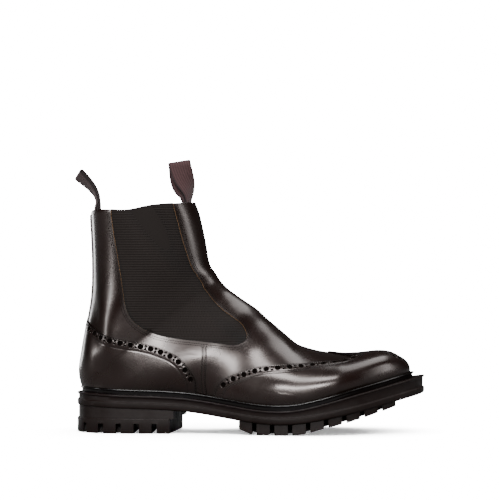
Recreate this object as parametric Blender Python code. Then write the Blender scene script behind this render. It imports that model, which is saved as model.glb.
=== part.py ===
"""A right brogue ankle boot with elastic gores, pull loops and a lugged rubber sole.

Metres, toe towards +X, the boot's lateral side towards -Y, floor at Z = 0.
The upper is one surface, fanned from the toe over the instep to the collar,
and every overlay, gore and seam is cut from that same surface.
"""

import bmesh
import bpy
import numpy as np

# Sole: outline and heights.
SOLE_LENGTH = 0.3124
BALL_WIDTH = 0.113
WAIST_WIDTH = 0.0715
HEEL_WIDTH = 0.074
INFLARE = 0.008
HEEL_CAP_LENGTH = 0.038
TOE_CAP_LENGTH = 0.070
CAP_ROUNDNESS = 2.1
SEAT_HEIGHT = 0.0386
BALL_HEIGHT = 0.0266
TOE_SPRING = 0.0294
WELT_THICKNESS = 0.0051
OUTSOLE_THICKNESS = 0.0120
TOE_THICKNESS = 0.0160
LIP_HEIGHT = 0.0014
GROOVE_DEPTH = 0.0012
RIB_HEIGHT = 0.0054

# Lugs of the forepart and the heel.
LUG_START = -0.0085
LUG_PITCH = 0.0158
LUG_GAP = 0.0040
LUG_REACH = 0.0230
LUG_INSET = 0.0030
TREAD_RISE = 0.0293
HEEL_BREAST = -0.0670
BREAST_SLANT = 0.0070
BREAST_STEP = 0.0035
TOP_PIECE_THICKNESS = 0.0131
HEEL_BLOCK_INSET = 0.0012
HEEL_SLOT_DEPTH = 0.0090
HEEL_SLOT_WIDTH = 0.0048
HEEL_SLOT_PITCH = 0.0160
HEEL_SLOT_REACH = 0.0160

# Margins between the edge of the outsole and what stands on it.
WELT_HEEL_MARGIN = 0.0028
WELT_SIDE_MARGIN = 0.0016
WELT_TOE_MARGIN = 0.0095
UPPER_HEEL_MARGIN = 0.0050
UPPER_SIDE_MARGIN = 0.0062
UPPER_TOE_MARGIN = 0.0138
WELT_REACH = 0.0100
INSOLE_THICKNESS = 0.0036

# Way from the middle of the sole to the middle of all, which is the frame's origin.
FRAME_SHIFT = (0.0020, 0.0, 0.0)

# Last and shaft.
TOE_DEPTH = 0.0246
INSTEP_RISE = 0.0717
SHAFT_RISE = 0.1651
BACK_RISE = 0.1577
HEEL_CURVE = 0.0069
COLLAR_DEPTH = 0.0945
COLLAR_WIDTH = 0.0780
WALL = 0.0022
RIM_DIP = 0.0040
RIM_NOTCH = 0.05
RIM_STRETCH = 40.0
RIM_SAG = 0.0028
SAG_GIRTH = 0.58
SAG_WIDTH = 0.13

# Overlays, gores and loops.
OVERLAY_THICKNESS = 0.0010
OVERLAY_SEAT = 0.0009
STRIP_WIDTH = 0.0090
SEAM_THICKNESS = 0.0008
SEAM_STATIONS = 3.7
SEAM_GIRTH = 0.020
GORE_RECESS = 0.0006
GORE_THICKNESS = 0.0013
GORE_GAP = 0.0009
TAPE_WIDTH = 0.0200
TAPE_THICKNESS = 0.0014
LOOP_RISE = 0.0420
FRONT_LOOP_INSET = 0.0036
BACK_LOOP_INSET = 0.0020
LOOP_CUP = 0.0032
LOOP_DROP = 4.0

# Clearance between pieces that touch, and how far cutters reach past a wall.
GAP = 0.00035
CUTTER_LIFT = 0.0060

# Panels of the faceted surface: half way round the upper, and up a gore.
HALF_PANELS = 13
GORE_ROWS = 18
GORE_CROWDING = 1.7
WING_CROWDING = 1.3
COUNTER_CROWDING = 0.9
WING_SHELL_END = 172.0
COUNTER_SHELL = (158.0, 334.0)
FOOT_STEP = 2.0
WING_LINES = 33
COUNTER_LINES = 23
CUTTER_ROWS = 8
GORE_PANELS = 5
LOOP_PANELS = 8
FOLD_PANELS = 6
OUTSOLE_PANELS = 30
WELT_PANELS = 28
INSOLE_PANELS = 24
HEEL_PANELS = 12

# Each table row is one section. ALONG runs from the heel (0) to the toe (1) of the piece.
# Half-widths as shares of half the heel, waist and ball widths, and the inflare's share.
OUTLINE_COLUMNS = ("along", "heel", "waist", "ball", "swing")
OUTLINE = (
    (0.000, 1.00, 0.00, 0.000, 0.10),
    (0.120, 0.99, 0.00, 0.000, 0.05),
    (0.200, 0.97, 0.00, 0.000, -0.15),
    (0.290, 0.40, 0.54, 0.000, -0.30),
    (0.385, 0.00, 1.00, 0.000, -0.46),
    (0.480, 0.00, 0.42, 0.500, -0.56),
    (0.570, 0.00, 0.00, 0.915, -0.38),
    (0.640, 0.00, 0.00, 0.985, -0.09),
    (0.700, 0.00, 0.00, 0.995, 0.03),
    (0.770, 0.00, 0.00, 0.955, 0.15),
    (0.850, 0.00, 0.00, 0.875, 0.40),
    (0.920, 0.00, 0.00, 0.800, 0.68),
    (1.000, 0.00, 0.00, 0.740, 1.00),
)

# Height of the welt's top: shares of the seat's rise over the ball, and of the toe spring.
RISE_COLUMNS = ("along", "seat", "toe")
RISE = (
    (0.000, 1.18, 0.000),
    (0.064, 1.14, 0.000),
    (0.131, 1.05, 0.000),
    (0.199, 1.00, 0.000),
    (0.266, 0.93, 0.000),
    (0.337, 0.78, 0.000),
    (0.404, 0.53, 0.000),
    (0.468, 0.27, 0.000),
    (0.522, 0.08, 0.000),
    (0.577, 0.00, 0.000),
    (0.631, 0.00, 0.034),
    (0.686, 0.00, 0.150),
    (0.740, 0.00, 0.300),
    (0.794, 0.00, 0.459),
    (0.846, 0.00, 0.602),
    (0.903, 0.00, 0.759),
    (0.958, 0.00, 0.901),
    (1.000, 0.00, 1.000),
)

# How far the outsole has thickened towards the toe, and the tread's rise off the floor.
TREAD_COLUMNS = ("along", "thicker", "tread")
TREAD = (
    (0.000, 0.00, 0.00),
    (0.440, 0.00, 0.26),
    (0.473, 0.00, 0.17),
    (0.500, 0.00, 0.05),
    (0.530, 0.00, 0.00),
    (0.611, 0.08, 0.00),
    (0.660, 0.25, 0.06),
    (0.690, 0.40, 0.15),
    (0.740, 0.68, 0.28),
    (0.790, 0.90, 0.42),
    (0.860, 1.00, 0.65),
    (0.922, 1.00, 0.86),
    (0.960, 1.00, 1.00),
    (1.000, 1.00, 1.16),
)

# The fan of sections. STATION is the mean way from the toe tip in thousandths of a metre at
# the modelled size, and only orders the rows. ALONG places the lower end on the sole, CLIMB and
# HOLLOW up the back. LEAD and REACH put the ridge ahead of the lower end (shares of the upper's
# length and of the collar's depth). TOE, INSTEP and LEG are the ridge's height over it.
LAST_COLUMNS = ("station", "along", "climb", "hollow", "lead", "reach", "toe", "instep", "leg")
LAST = (
    (0, 1.0000, 0.000, 0.00, 0.000, 0.000, 0.000, 0.000, 0.000),
    (3, 0.9980, 0.000, 0.00, 0.000, 0.000, 0.190, 0.000, 0.000),
    (7, 0.9891, 0.000, 0.00, 0.000, 0.000, 0.400, 0.000, 0.000),
    (12, 0.9727, 0.000, 0.00, 0.000, 0.000, 0.590, 0.000, 0.000),
    (20, 0.9454, 0.000, 0.00, 0.000, 0.000, 0.840, 0.000, 0.000),
    (29, 0.9137, 0.000, 0.00, 0.000, 0.000, 1.000, 0.000, 0.000),
    (43, 0.8642, 0.000, 0.00, 0.003, 0.000, 1.080, 0.010, 0.000),
    (61, 0.7993, 0.000, 0.00, 0.010, 0.000, 0.760, 0.170, 0.000),
    (81, 0.7242, 0.000, 0.00, 0.027, 0.000, 0.420, 0.395, 0.000),
    (104, 0.6321, 0.000, 0.00, 0.061, 0.000, 0.150, 0.605, 0.000),
    (129, 0.5263, 0.000, 0.00, 0.112, 0.000, 0.000, 0.762, 0.000),
    (158, 0.4034, 0.000, 0.00, 0.180, 0.000, 0.000, 0.883, 0.000),
    (186, 0.2771, 0.000, 0.00, 0.230, 0.082, 0.000, 0.900, 0.043),
    (211, 0.1611, 0.000, 0.00, 0.190, 0.429, 0.000, 0.720, 0.171),
    (229, 0.0792, 0.000, 0.00, 0.130, 0.766, 0.000, 0.540, 0.285),
    (242, 0.0314, 0.000, 0.00, 0.080, 1.006, 0.000, 0.400, 0.373),
    (251, 0.0075, 0.000, 0.00, 0.040, 1.164, 0.000, 0.290, 0.443),
    (257, 0.0000, 0.000, 0.00, 0.020, 1.228, 0.000, 0.220, 0.491),
    (262, 0.0000, 0.027, -0.22, 0.000, 1.289, 0.000, 0.150, 0.540),
    (270, 0.0000, 0.082, -0.38, 0.000, 1.272, 0.000, 0.080, 0.594),
    (288, 0.0000, 0.204, -0.06, 0.000, 1.213, 0.000, 0.020, 0.659),
    (305, 0.0000, 0.324, 0.48, 0.000, 1.158, 0.000, 0.000, 0.711),
    (322, 0.0000, 0.458, 1.08, 0.000, 1.101, 0.000, 0.000, 0.761),
    (341, 0.0000, 0.616, 1.30, 0.000, 1.065, 0.000, 0.000, 0.820),
    (358, 0.0000, 0.756, 1.27, 0.000, 1.043, 0.000, 0.000, 0.884),
    (374, 0.0000, 0.883, 1.14, 0.000, 1.023, 0.000, 0.000, 0.947),
    (388, 0.0000, 1.000, 0.98, 0.000, 1.000, 0.000, 0.000, 1.000),
    (400, 0.0000, 1.100, 0.85, 0.000, 0.981, 0.000, 0.000, 1.056),
)
HEEL_STATION = 257.0
RIM_STATION = 388.0
TOP_STATION = 400.0
STATIONS_PER_METRE = 1000.0

# Cross form of the fan. BASE follows the upper's own outline on the welt, the next columns add
# shares of half the ball, heel and collar widths (lateral, medial, heel, collar). WIDEST is where
# along the section it is widest, LOW and HIGH its squareness below and above, RIDGE the ridge's
# shift to the medial side as a share of the ball width.
CROSS_COLUMNS = (
    "station", "base", "lateral", "medial", "heel", "collar", "widest", "low", "high", "ridge",
)
CROSS = (
    (0, 1.03, 0.00, 0.00, 0.00, 0.00, 0.28, 2.2, 2.30, 0.000),
    (29, 1.03, 0.00, 0.00, 0.00, 0.00, 0.28, 2.2, 2.35, 0.010),
    (61, 1.02, 0.01, 0.01, 0.00, 0.00, 0.27, 2.2, 2.15, 0.045),
    (104, 1.01, 0.02, 0.03, 0.00, 0.00, 0.27, 2.2, 2.00, 0.070),
    (129, 0.98, 0.06, 0.12, 0.00, 0.00, 0.29, 2.2, 1.92, 0.060),
    (158, 0.80, 0.18, 0.26, 0.00, 0.00, 0.33, 2.2, 1.90, 0.045),
    (186, 0.55, 0.18, 0.22, 0.22, 0.04, 0.35, 2.2, 1.90, 0.030),
    (211, 0.32, 0.08, 0.10, 0.50, 0.06, 0.34, 2.2, 1.92, 0.020),
    (236, 0.08, 0.02, 0.02, 0.78, 0.06, 0.31, 2.2, 1.95, 0.010),
    (257, 0.00, 0.00, 0.00, 0.86, 0.06, 0.31, 2.15, 1.98, 0.005),
    (288, 0.00, 0.00, 0.00, 0.72, 0.22, 0.35, 2.1, 2.00, 0.000),
    (322, 0.00, 0.00, 0.00, 0.36, 0.58, 0.42, 2.05, 2.02, 0.000),
    (358, 0.00, 0.00, 0.00, 0.08, 0.88, 0.47, 2.05, 2.05, 0.000),
    (388, 0.00, 0.00, 0.00, 0.00, 1.00, 0.49, 2.05, 2.05, 0.000),
    (400, 0.00, 0.00, 0.00, 0.00, 1.02, 0.49, 2.05, 2.05, 0.000),
)

# Edges on the upper, from its lower corner. GIRTH is 0 on the ridge and 1 at the welt or back.
GORE_COLUMNS = ("station", "front", "back")
GORE = (
    (168.5, 0.372, 0.402),
    (170.5, 0.346, 0.442),
    (174.0, 0.314, 0.468),
    (181.0, 0.272, 0.482),
    (195.0, 0.238, 0.497),
    (212.0, 0.207, 0.509),
    (230.0, 0.171, 0.517),
    (240.0, 0.152, 0.514),
    (250.0, 0.136, 0.499),
    (257.0, 0.128, 0.489),
    (262.0, 0.125, 0.490),
    (270.0, 0.128, 0.517),
    (281.0, 0.136, 0.552),
    (300.0, 0.168, 0.603),
    (325.0, 0.212, 0.651),
    (352.0, 0.249, 0.683),
    (375.0, 0.267, 0.700),
    (400.0, 0.270, 0.692),
)
WING_COLUMNS = ("share", "station", "girth")
WING = (
    (0.00, 157.0, 1.000),
    (0.05, 159.5, 0.900),
    (0.11, 159.5, 0.810),
    (0.18, 156.0, 0.745),
    (0.27, 148.5, 0.662),
    (0.36, 138.5, 0.596),
    (0.46, 125.0, 0.546),
    (0.56, 110.0, 0.511),
    (0.66, 93.0, 0.489),
    (0.75, 77.0, 0.468),
    (0.82, 65.0, 0.430),
    (0.87, 58.0, 0.370),
    (0.91, 56.5, 0.290),
    (0.95, 62.0, 0.180),
    (0.98, 71.0, 0.080),
    (1.00, 81.5, 0.000),
)
COUNTER_COLUMNS = ("share", "station", "girth")
COUNTER = (
    (0.000, 169.0, 1.000),
    (0.083, 176.4, 0.871),
    (0.167, 187.6, 0.771),
    (0.250, 200.3, 0.691),
    (0.333, 213.5, 0.638),
    (0.417, 225.6, 0.614),
    (0.500, 239.1, 0.596),
    (0.542, 246.5, 0.588),
    (0.583, 254.2, 0.577),
    (0.625, 260.8, 0.579),
    (0.667, 265.8, 0.605),
    (0.750, 277.2, 0.672),
    (0.833, 290.9, 0.759),
    (0.917, 304.7, 0.870),
    (1.000, 314.0, 1.000),
)
SEAM_COLUMNS = ("share", "station", "girth")
SEAM = (
    (0.00, 163.5, 0.990),
    (0.33, 173.5, 0.830),
    (0.66, 184.5, 0.665),
    (1.00, 197.0, 0.528),
)

# Pull loops: shares of the loop's rise over the rim, from the sewn ends to the fold.
# FORWARD is towards the toe, TWIST in degrees, APART the way between the two layers in metres.
LOOP_COLUMNS = ("share", "forward", "up", "twist", "apart")
FRONT_LOOP = (
    (0.00, 0.000, -0.36, 0.0, 0.0026),
    (0.20, -0.005, 0.00, 8.0, 0.0030),
    (0.42, -0.036, 0.22, 28.0, 0.0060),
    (0.70, -0.130, 0.48, 60.0, 0.0086),
    (1.00, -0.195, 0.78, 82.0, 0.0086),
)
BACK_LOOP = (
    (0.00, 0.040, -0.36, 0.0, 0.0017),
    (0.20, 0.002, 0.14, 0.0, 0.0017),
    (0.40, 0.030, 0.29, -5.0, 0.0018),
    (0.65, -0.050, 0.53, -16.0, 0.0024),
    (1.00, -0.352, 0.88, -29.0, 0.0030),
)


def column(table, names, name):
    """One named column of a table as an array."""
    return np.array([row[names.index(name)] for row in table], float)


def spline(knots, values, where):
    """Natural cubic spline through the rows of a table, read at any number of places."""
    gaps = np.diff(knots)
    slopes = np.diff(values) / gaps
    matrix = np.eye(len(knots))
    right = np.zeros(len(knots))
    for row in range(1, len(knots) - 1):
        matrix[row, row - 1 : row + 2] = gaps[row - 1], 2 * (gaps[row - 1] + gaps[row]), gaps[row]
        right[row] = 6 * (slopes[row] - slopes[row - 1])
    bend = np.linalg.solve(matrix, right)
    where = np.clip(where, knots[0], knots[-1])
    index = np.clip(np.searchsorted(knots, where, side="right") - 1, 0, len(gaps) - 1)
    left = where - knots[index]
    rest = gaps[index] - left
    return (
        (values[index] * rest + values[index + 1] * left) / gaps[index]
        + (bend[index] * (rest**3 / gaps[index] - rest * gaps[index])) / 6
        + (bend[index + 1] * (left**3 / gaps[index] - left * gaps[index])) / 6
    )


def read(table, names, name, where):
    """A column of a table as a smooth function of the table's first column."""
    return spline(column(table, names, names[0]), column(table, names, name), where)


def sole_along(x):
    """Share of the sole's length at x, 0 at the heel and 1 at the toe."""
    return x / SOLE_LENGTH + 0.5


def welt_top(x):
    """Height of the welt's upper face."""
    along = sole_along(x)
    seat = read(RISE, RISE_COLUMNS, "seat", along)
    toe = read(RISE, RISE_COLUMNS, "toe", along)
    return BALL_HEIGHT + (SEAT_HEIGHT - BALL_HEIGHT) * seat + TOE_SPRING * toe


def outsole_thickness(x):
    """Thickness of the outsole without its lugs."""
    thicker = read(TREAD, TREAD_COLUMNS, "thicker", sole_along(x))
    return OUTSOLE_THICKNESS + (TOE_THICKNESS - OUTSOLE_THICKNESS) * thicker


def outsole_bottom(x):
    """Height of the outsole's underside between the lugs."""
    return welt_top(x) - WELT_THICKNESS - outsole_thickness(x)


def tread_height(x):
    """Height of the lugs' lower faces: on the floor at the ball, rising to the toe."""
    tread = read(TREAD, TREAD_COLUMNS, "tread", sole_along(x))
    return TREAD_RISE * np.maximum(tread, 0.0)


def plan_ends(heel_margin, toe_margin):
    """Both ends of an outline that lies inside the sole's."""
    return heel_margin - SOLE_LENGTH / 2, SOLE_LENGTH / 2 - toe_margin


def plan_width(x, heel_margin, side_margin, toe_margin):
    """Centre and half-width at x of an outline inside the sole's, closed by round caps."""
    low, high = plan_ends(heel_margin, toe_margin)
    along = sole_along(x)
    half = 0.5 * (
        HEEL_WIDTH * read(OUTLINE, OUTLINE_COLUMNS, "heel", along)
        + WAIST_WIDTH * read(OUTLINE, OUTLINE_COLUMNS, "waist", along)
        + BALL_WIDTH * read(OUTLINE, OUTLINE_COLUMNS, "ball", along)
    )
    half = half - np.interp(
        along, (0, 0.3, 0.5, 0.75, 1), (heel_margin, heel_margin, side_margin, side_margin, toe_margin)
    )
    into_heel = np.clip((low + HEEL_CAP_LENGTH - x) / HEEL_CAP_LENGTH, 0, 1)
    into_toe = np.clip((x - high + TOE_CAP_LENGTH) / TOE_CAP_LENGTH, 0, 1)
    cap = (1 - into_heel**CAP_ROUNDNESS) * (1 - into_toe**CAP_ROUNDNESS)
    centre = INFLARE * read(OUTLINE, OUTLINE_COLUMNS, "swing", along)
    return centre, half * cap ** (1 / CAP_ROUNDNESS)


def plan_loop(margins, drop, steps):
    """Closed outline, lateral side from heel to toe and medial side back, DROP under the welt's top."""
    low, high = plan_ends(margins[0], margins[2])
    x = low + (high - low) * (1 - np.cos(np.pi * np.arange(steps + 1) / steps)) / 2
    centre, half = plan_width(x, *margins)
    z = welt_top(x) - (drop(x) if callable(drop) else drop)
    lateral = np.stack([x, centre - half, z], 1)
    medial = np.stack([x, centre + half, z], 1)
    return np.concatenate([lateral, medial[-2:0:-1]])


def grow(margins, inset):
    """The same margins, all moved inwards."""
    return tuple(margin + inset for margin in margins)


def finish_mesh(name, points, faces, look):
    """A closed, welded mesh with its faces outwards, as an object with its material."""
    mesh = bpy.data.meshes.new(name)
    mesh.from_pydata([tuple(np.add(point, FRAME_SHIFT)) for point in points], [], faces)
    work = bmesh.new()
    work.from_mesh(mesh)
    bmesh.ops.remove_doubles(work, verts=work.verts, dist=1e-6)
    bmesh.ops.recalc_face_normals(work, faces=work.faces)
    if work.calc_volume(signed=True) < 0:
        bmesh.ops.reverse_faces(work, faces=work.faces)
    work.to_mesh(mesh)
    work.free()
    mesh.materials.append(look)
    mesh.shade_smooth()
    mesh.set_sharp_from_angle(angle=0.7)
    obj = bpy.data.objects.new(name, mesh)
    bpy.context.scene.collection.objects.link(obj)
    return obj


def loops_solid(name, loops, look, ring=False):
    """Closed outlines joined one to the next, with ruled caps or, as a RING, back to the first."""
    count = len(loops[0])
    points = np.concatenate(loops)
    faces = []
    pairs = list(zip(range(len(loops)), range(1, len(loops))))
    if ring:
        pairs.append((len(loops) - 1, 0))
    for a, b in pairs:
        for i in range(count):
            j = (i + 1) % count
            faces.append((a * count + i, a * count + j, b * count + j, b * count + i))
    if not ring:
        half = count // 2
        for start in (0, (len(loops) - 1) * count):
            for i in range(half):
                faces.append(
                    (start + i, start + i + 1, start + (count - i - 1) % count, start + (count - i) % count)
                )
    return finish_mesh(name, points, faces, look)


# Both triangles of a panel, split the same way in every layer so that layers stay parallel.
PANEL_TRIANGLES = (((0, 0), (1, 0), (1, 1)), ((0, 0), (1, 1), (0, 1)))


def sheet_solid(name, outer, inner, look):
    """Two grids of points, face and back of a sheet, closed round their border."""
    rows, cols = outer.shape[:2]
    points = np.concatenate([outer.reshape(-1, 3), inner.reshape(-1, 3)])
    index = np.arange(rows * cols).reshape(rows, cols)
    under = index + rows * cols
    faces = []
    for i in range(rows - 1):
        for j in range(cols - 1):
            for corners in PANEL_TRIANGLES:
                spots = [(i + a, j + b) for a, b in corners]
                faces.append(tuple(int(index[spot]) for spot in spots))
                faces.append(tuple(int(under[spot]) for spot in reversed(spots)))
    edge = (
        [(0, j) for j in range(cols)]
        + [(i, cols - 1) for i in range(1, rows)]
        + [(rows - 1, j) for j in range(cols - 2, -1, -1)]
        + [(i, 0) for i in range(rows - 2, 0, -1)]
    )
    for a, b in zip(edge, edge[1:] + edge[:1]):
        faces.append((int(index[a]), int(index[b]), int(under[b]), int(under[a])))
    return finish_mesh(name, points, faces, look)


def fan_ends(station):
    """Lower end and ridge of the fan's sections."""
    def value(name):
        return read(LAST, LAST_COLUMNS, name, station)

    low, high = plan_ends(UPPER_HEEL_MARGIN, UPPER_TOE_MARGIN)
    base_x = low + (high - low) * value("along") + HEEL_CURVE * value("hollow")
    base_z = welt_top(np.maximum(base_x, low)) + GAP + BACK_RISE * value("climb")
    ridge_x = base_x + (high - low) * value("lead") + COLLAR_DEPTH * value("reach")
    over = TOE_DEPTH * value("toe") + INSTEP_RISE * value("instep") + SHAFT_RISE * value("leg")
    ridge_z = welt_top(np.maximum(base_x, low)) + GAP + over
    return base_x, base_z, ridge_x, ridge_z


def last_table(stations, steps):
    """Points of the last's surface: each section is a squared ellipse cut off at the welt.

    From the lower end the section widens to its widest share and closes over the ridge, both as
    superellipses, and its points are spaced evenly along the half girth on each side.
    """
    base_x, base_z, ridge_x, ridge_z = fan_ends(stations)
    cross = {name: read(CROSS, CROSS_COLUMNS, name, stations) for name in CROSS_COLUMNS[1:]}
    centre, half = plan_width(base_x, UPPER_HEEL_MARGIN, UPPER_SIDE_MARGIN, UPPER_TOE_MARGIN)
    half = np.where(stations >= HEEL_STATION, 0.0, half)
    shared = cross["base"] * half + 0.5 * (HEEL_WIDTH * cross["heel"] + COLLAR_WIDTH * cross["collar"])
    table = np.zeros((len(stations), 2 * steps + 1, 3))
    fine = np.linspace(0, 1, 241)
    for side, name in ((-1, "lateral"), (1, "medial")):
        widest = np.maximum(shared + 0.5 * BALL_WIDTH * np.abs(cross[name]), half * 1.0001 + 1e-7)
        for i in range(len(stations)):
            start = np.arcsin((half[i] / widest[i]) ** (cross["low"][i] / 2))
            angle = start + (np.pi - start) * fine
            low_part = np.abs(np.cos(angle)) ** (2 / cross["low"][i])
            low_part = low_part / max(np.cos(start) ** (2 / cross["low"][i]), 1e-9)
            high_part = np.abs(np.cos(angle)) ** (2 / cross["high"][i])
            share = np.where(
                angle < np.pi / 2,
                cross["widest"][i] * (1 - low_part),
                cross["widest"][i] + (1 - cross["widest"][i]) * high_part,
            )
            power = np.where(angle < np.pi / 2, 2 / cross["low"][i], 2 / cross["high"][i])
            out = widest[i] * np.sin(np.clip(angle, 0, np.pi)) ** power
            shift = BALL_WIDTH * cross["ridge"][i] * share**2
            section = np.stack(
                [
                    base_x[i] + (ridge_x[i] - base_x[i]) * share,
                    centre[i] + shift + side * out,
                    base_z[i] + (ridge_z[i] - base_z[i]) * share,
                ],
                1,
            )
            way = np.concatenate([[0], np.cumsum(np.linalg.norm(np.diff(section, axis=0), axis=1))])
            even = np.linspace(0, way[-1], steps + 1)
            line = np.stack([np.interp(even, way, section[:, k]) for k in range(3)], 1)
            if side < 0:
                table[i, : steps + 1] = line
            else:
                table[i, steps:] = line[::-1]
    return table


class LastSurface:
    """The last's surface as a dense table, read at any station and girth with any lift."""

    def __init__(self):
        toe = 30 * np.linspace(0, 1, 40, endpoint=False) ** 1.5
        self.stations = np.concatenate([toe, np.linspace(30, TOP_STATION, 371)])
        self.steps = 90
        self.points = last_table(self.stations, self.steps)
        down = np.gradient(self.points, self.stations, axis=0)
        across = np.gradient(self.points, axis=1)
        normal = np.cross(across, down)
        normal[0] = (1.0, 0.0, 0.0)
        length = np.linalg.norm(normal, axis=2, keepdims=True)
        normal = normal / np.maximum(length, 1e-12)
        closed = self.stations >= HEEL_STATION
        back = normal[closed, 0] + normal[closed, -1]
        back = back / np.linalg.norm(back, axis=1, keepdims=True)
        normal[closed, 0] = back
        normal[closed, -1] = back
        self.normals = normal
        steps = np.linalg.norm(np.diff(self.points, axis=1), axis=2)
        self.girths = steps.sum(1) / 2

    def girth(self, station):
        """Half girth of the section at a station."""
        return np.interp(station, self.stations, self.girths)

    def at(self, station, girth, lift):
        """Point over the surface: GIRTH -1 is the lateral edge, 0 the ridge, 1 the medial edge."""
        station = np.asarray(station, float)
        girth = np.asarray(girth, float)
        row = np.interp(station, self.stations, np.arange(len(self.stations)))
        col = (np.clip(girth, -1, 1) + 1) * self.steps
        i = np.clip(row.astype(int), 0, len(self.stations) - 2)
        j = np.clip(col.astype(int), 0, 2 * self.steps - 1)
        a = (row - i)[..., None]
        b = (col - j)[..., None]
        found = []
        for field in (self.points, self.normals):
            near = field[i, j] * (1 - b) + field[i, j + 1] * b
            far = field[i + 1, j] * (1 - b) + field[i + 1, j + 1] * b
            found.append(near * (1 - a) + far * a)
        normal = found[1] / np.linalg.norm(found[1], axis=-1, keepdims=True)
        return found[0] + normal * np.asarray(lift)[..., None]


def rim_station(girth):
    """Station of the collar's rim, with a notch over the back seam and a sag over each gore."""
    notch = RIM_DIP * STATIONS_PER_METRE * np.exp(-(((1 - np.abs(girth)) / RIM_NOTCH) ** 2))
    sag = RIM_SAG * STATIONS_PER_METRE * np.exp(-(((np.abs(girth) - SAG_GIRTH) / SAG_WIDTH) ** 2))
    return RIM_STATION - notch - sag


def to_rim(station, girth):
    """Stations of the shaft's top stretched so that the last one is the rim."""
    start = RIM_STATION - RIM_STRETCH
    above = np.clip((station - start) / (RIM_STATION - start), 0, None)
    return np.where(station > start, start + above * (rim_station(girth) - start), station)


def shell_stations(low, high):
    """Stations of the upper's sections, closer at the toe, the heel and the instep's bend."""
    stations = np.concatenate(
        [
            (0, 1.2, 3.2, 6.5, 11, 17, 24, 33),
            np.linspace(44, 190, 11),
            (202, 214, 225, 235, 243, 249.5, 254, HEEL_STATION, 262, 268),
            np.linspace(278, RIM_STATION, 8),
        ]
    )
    return stations[(stations >= low) & (stations <= high)]


def leather_shell(last, name, low, high, face, back, look):
    """A shell between two lifts over the last, from station LOW to HIGH, open at the welt."""
    stations = shell_stations(low, high)
    station, girth = np.meshgrid(stations, np.linspace(-1, 1, 2 * HALF_PANELS + 1), indexing="ij")
    station = to_rim(station, girth)
    outer = last.at(station, girth, face)
    inner = last.at(station, girth, back)
    for grid in (outer, inner):
        for j in (0, -1):
            grid[:, j, 2] = np.maximum(grid[:, j, 2], welt_top(grid[:, j, 0]) + GAP)
    rows, cols = station.shape
    points = np.concatenate([outer.reshape(-1, 3), inner.reshape(-1, 3)])
    index = np.arange(rows * cols).reshape(rows, cols)
    under = index + rows * cols
    faces = []
    for i in range(rows - 1):
        for j in range(cols - 1):
            for corners in PANEL_TRIANGLES:
                spots = [(i + a, j + b) for a, b in corners]
                faces.append(tuple(int(index[spot]) for spot in spots))
                faces.append(tuple(int(under[spot]) for spot in reversed(spots)))
        if stations[i] < HEEL_STATION:
            for j in (0, cols - 1):
                faces.append((int(index[i, j]), int(index[i + 1, j]), int(under[i + 1, j]), int(under[i, j])))
    for i in (0, rows - 1) if low > 0 else (rows - 1,):
        for j in range(cols - 1):
            faces.append((int(index[i, j]), int(index[i, j + 1]), int(under[i, j + 1]), int(under[i, j])))
    return finish_mesh(name, points, faces, look)


def make_upper(last, look):
    """The upper: the last's surface and a second one a wall further in."""
    return leather_shell(last, "upper", 0, RIM_STATION, 0.0, -WALL, look)


def gore_grid(last, side, shrink, cols):
    """Stations and girths of a gore, from its lower front corner up to the rim."""
    low = GORE[0][0] + shrink * STATIONS_PER_METRE
    share = np.linspace(0, 1, GORE_ROWS) ** GORE_CROWDING
    station = low + (RIM_STATION - low) * share
    if shrink == 0:
        station = np.append(station, TOP_STATION)
    front = read(GORE, GORE_COLUMNS, "front", station) + shrink / last.girth(station)
    back = read(GORE, GORE_COLUMNS, "back", station) - shrink / last.girth(station)
    across = np.linspace(0, 1, cols)[None, :]
    girth = side * (front[:, None] * (1 - across) + back[:, None] * across)
    return np.repeat(station[:, None], cols, 1), girth


def helper(obj):
    """Marks an object as a cutter, which is no piece of the boot."""
    obj.hide_render = True
    obj.display_type = "WIRE"
    return obj


def join(obj, other, operation, solver="EXACT"):
    """A Boolean of another object, left live on this one."""
    modifier = obj.modifiers.new(other.name, "BOOLEAN")
    modifier.operation = operation
    modifier.solver = solver
    modifier.object = other


def make_gore(last, upper, side, name, look):
    """Cuts a gore's opening from the upper and fills it with its elastic, set a little deeper."""
    station, girth = gore_grid(last, side, 0.0, GORE_PANELS + 1)
    face = last.at(station, girth, CUTTER_LIFT)
    back = last.at(station, girth, -CUTTER_LIFT)
    join(upper, helper(sheet_solid(name + "_cutter", face, back, look)), "DIFFERENCE", "MANIFOLD")
    station, girth = gore_grid(last, side, GORE_GAP, GORE_PANELS + 1)
    station = to_rim(station, girth)
    outer = last.at(station, girth, -GORE_RECESS)
    inner = last.at(station, girth, -GORE_RECESS - GORE_THICKNESS)
    return sheet_solid(name, outer, inner, look)


def edge_curve(table, names, share):
    """Station and girth along an overlay's edge."""
    return read(table, names, "station", share), read(table, names, "girth", share)


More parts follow.
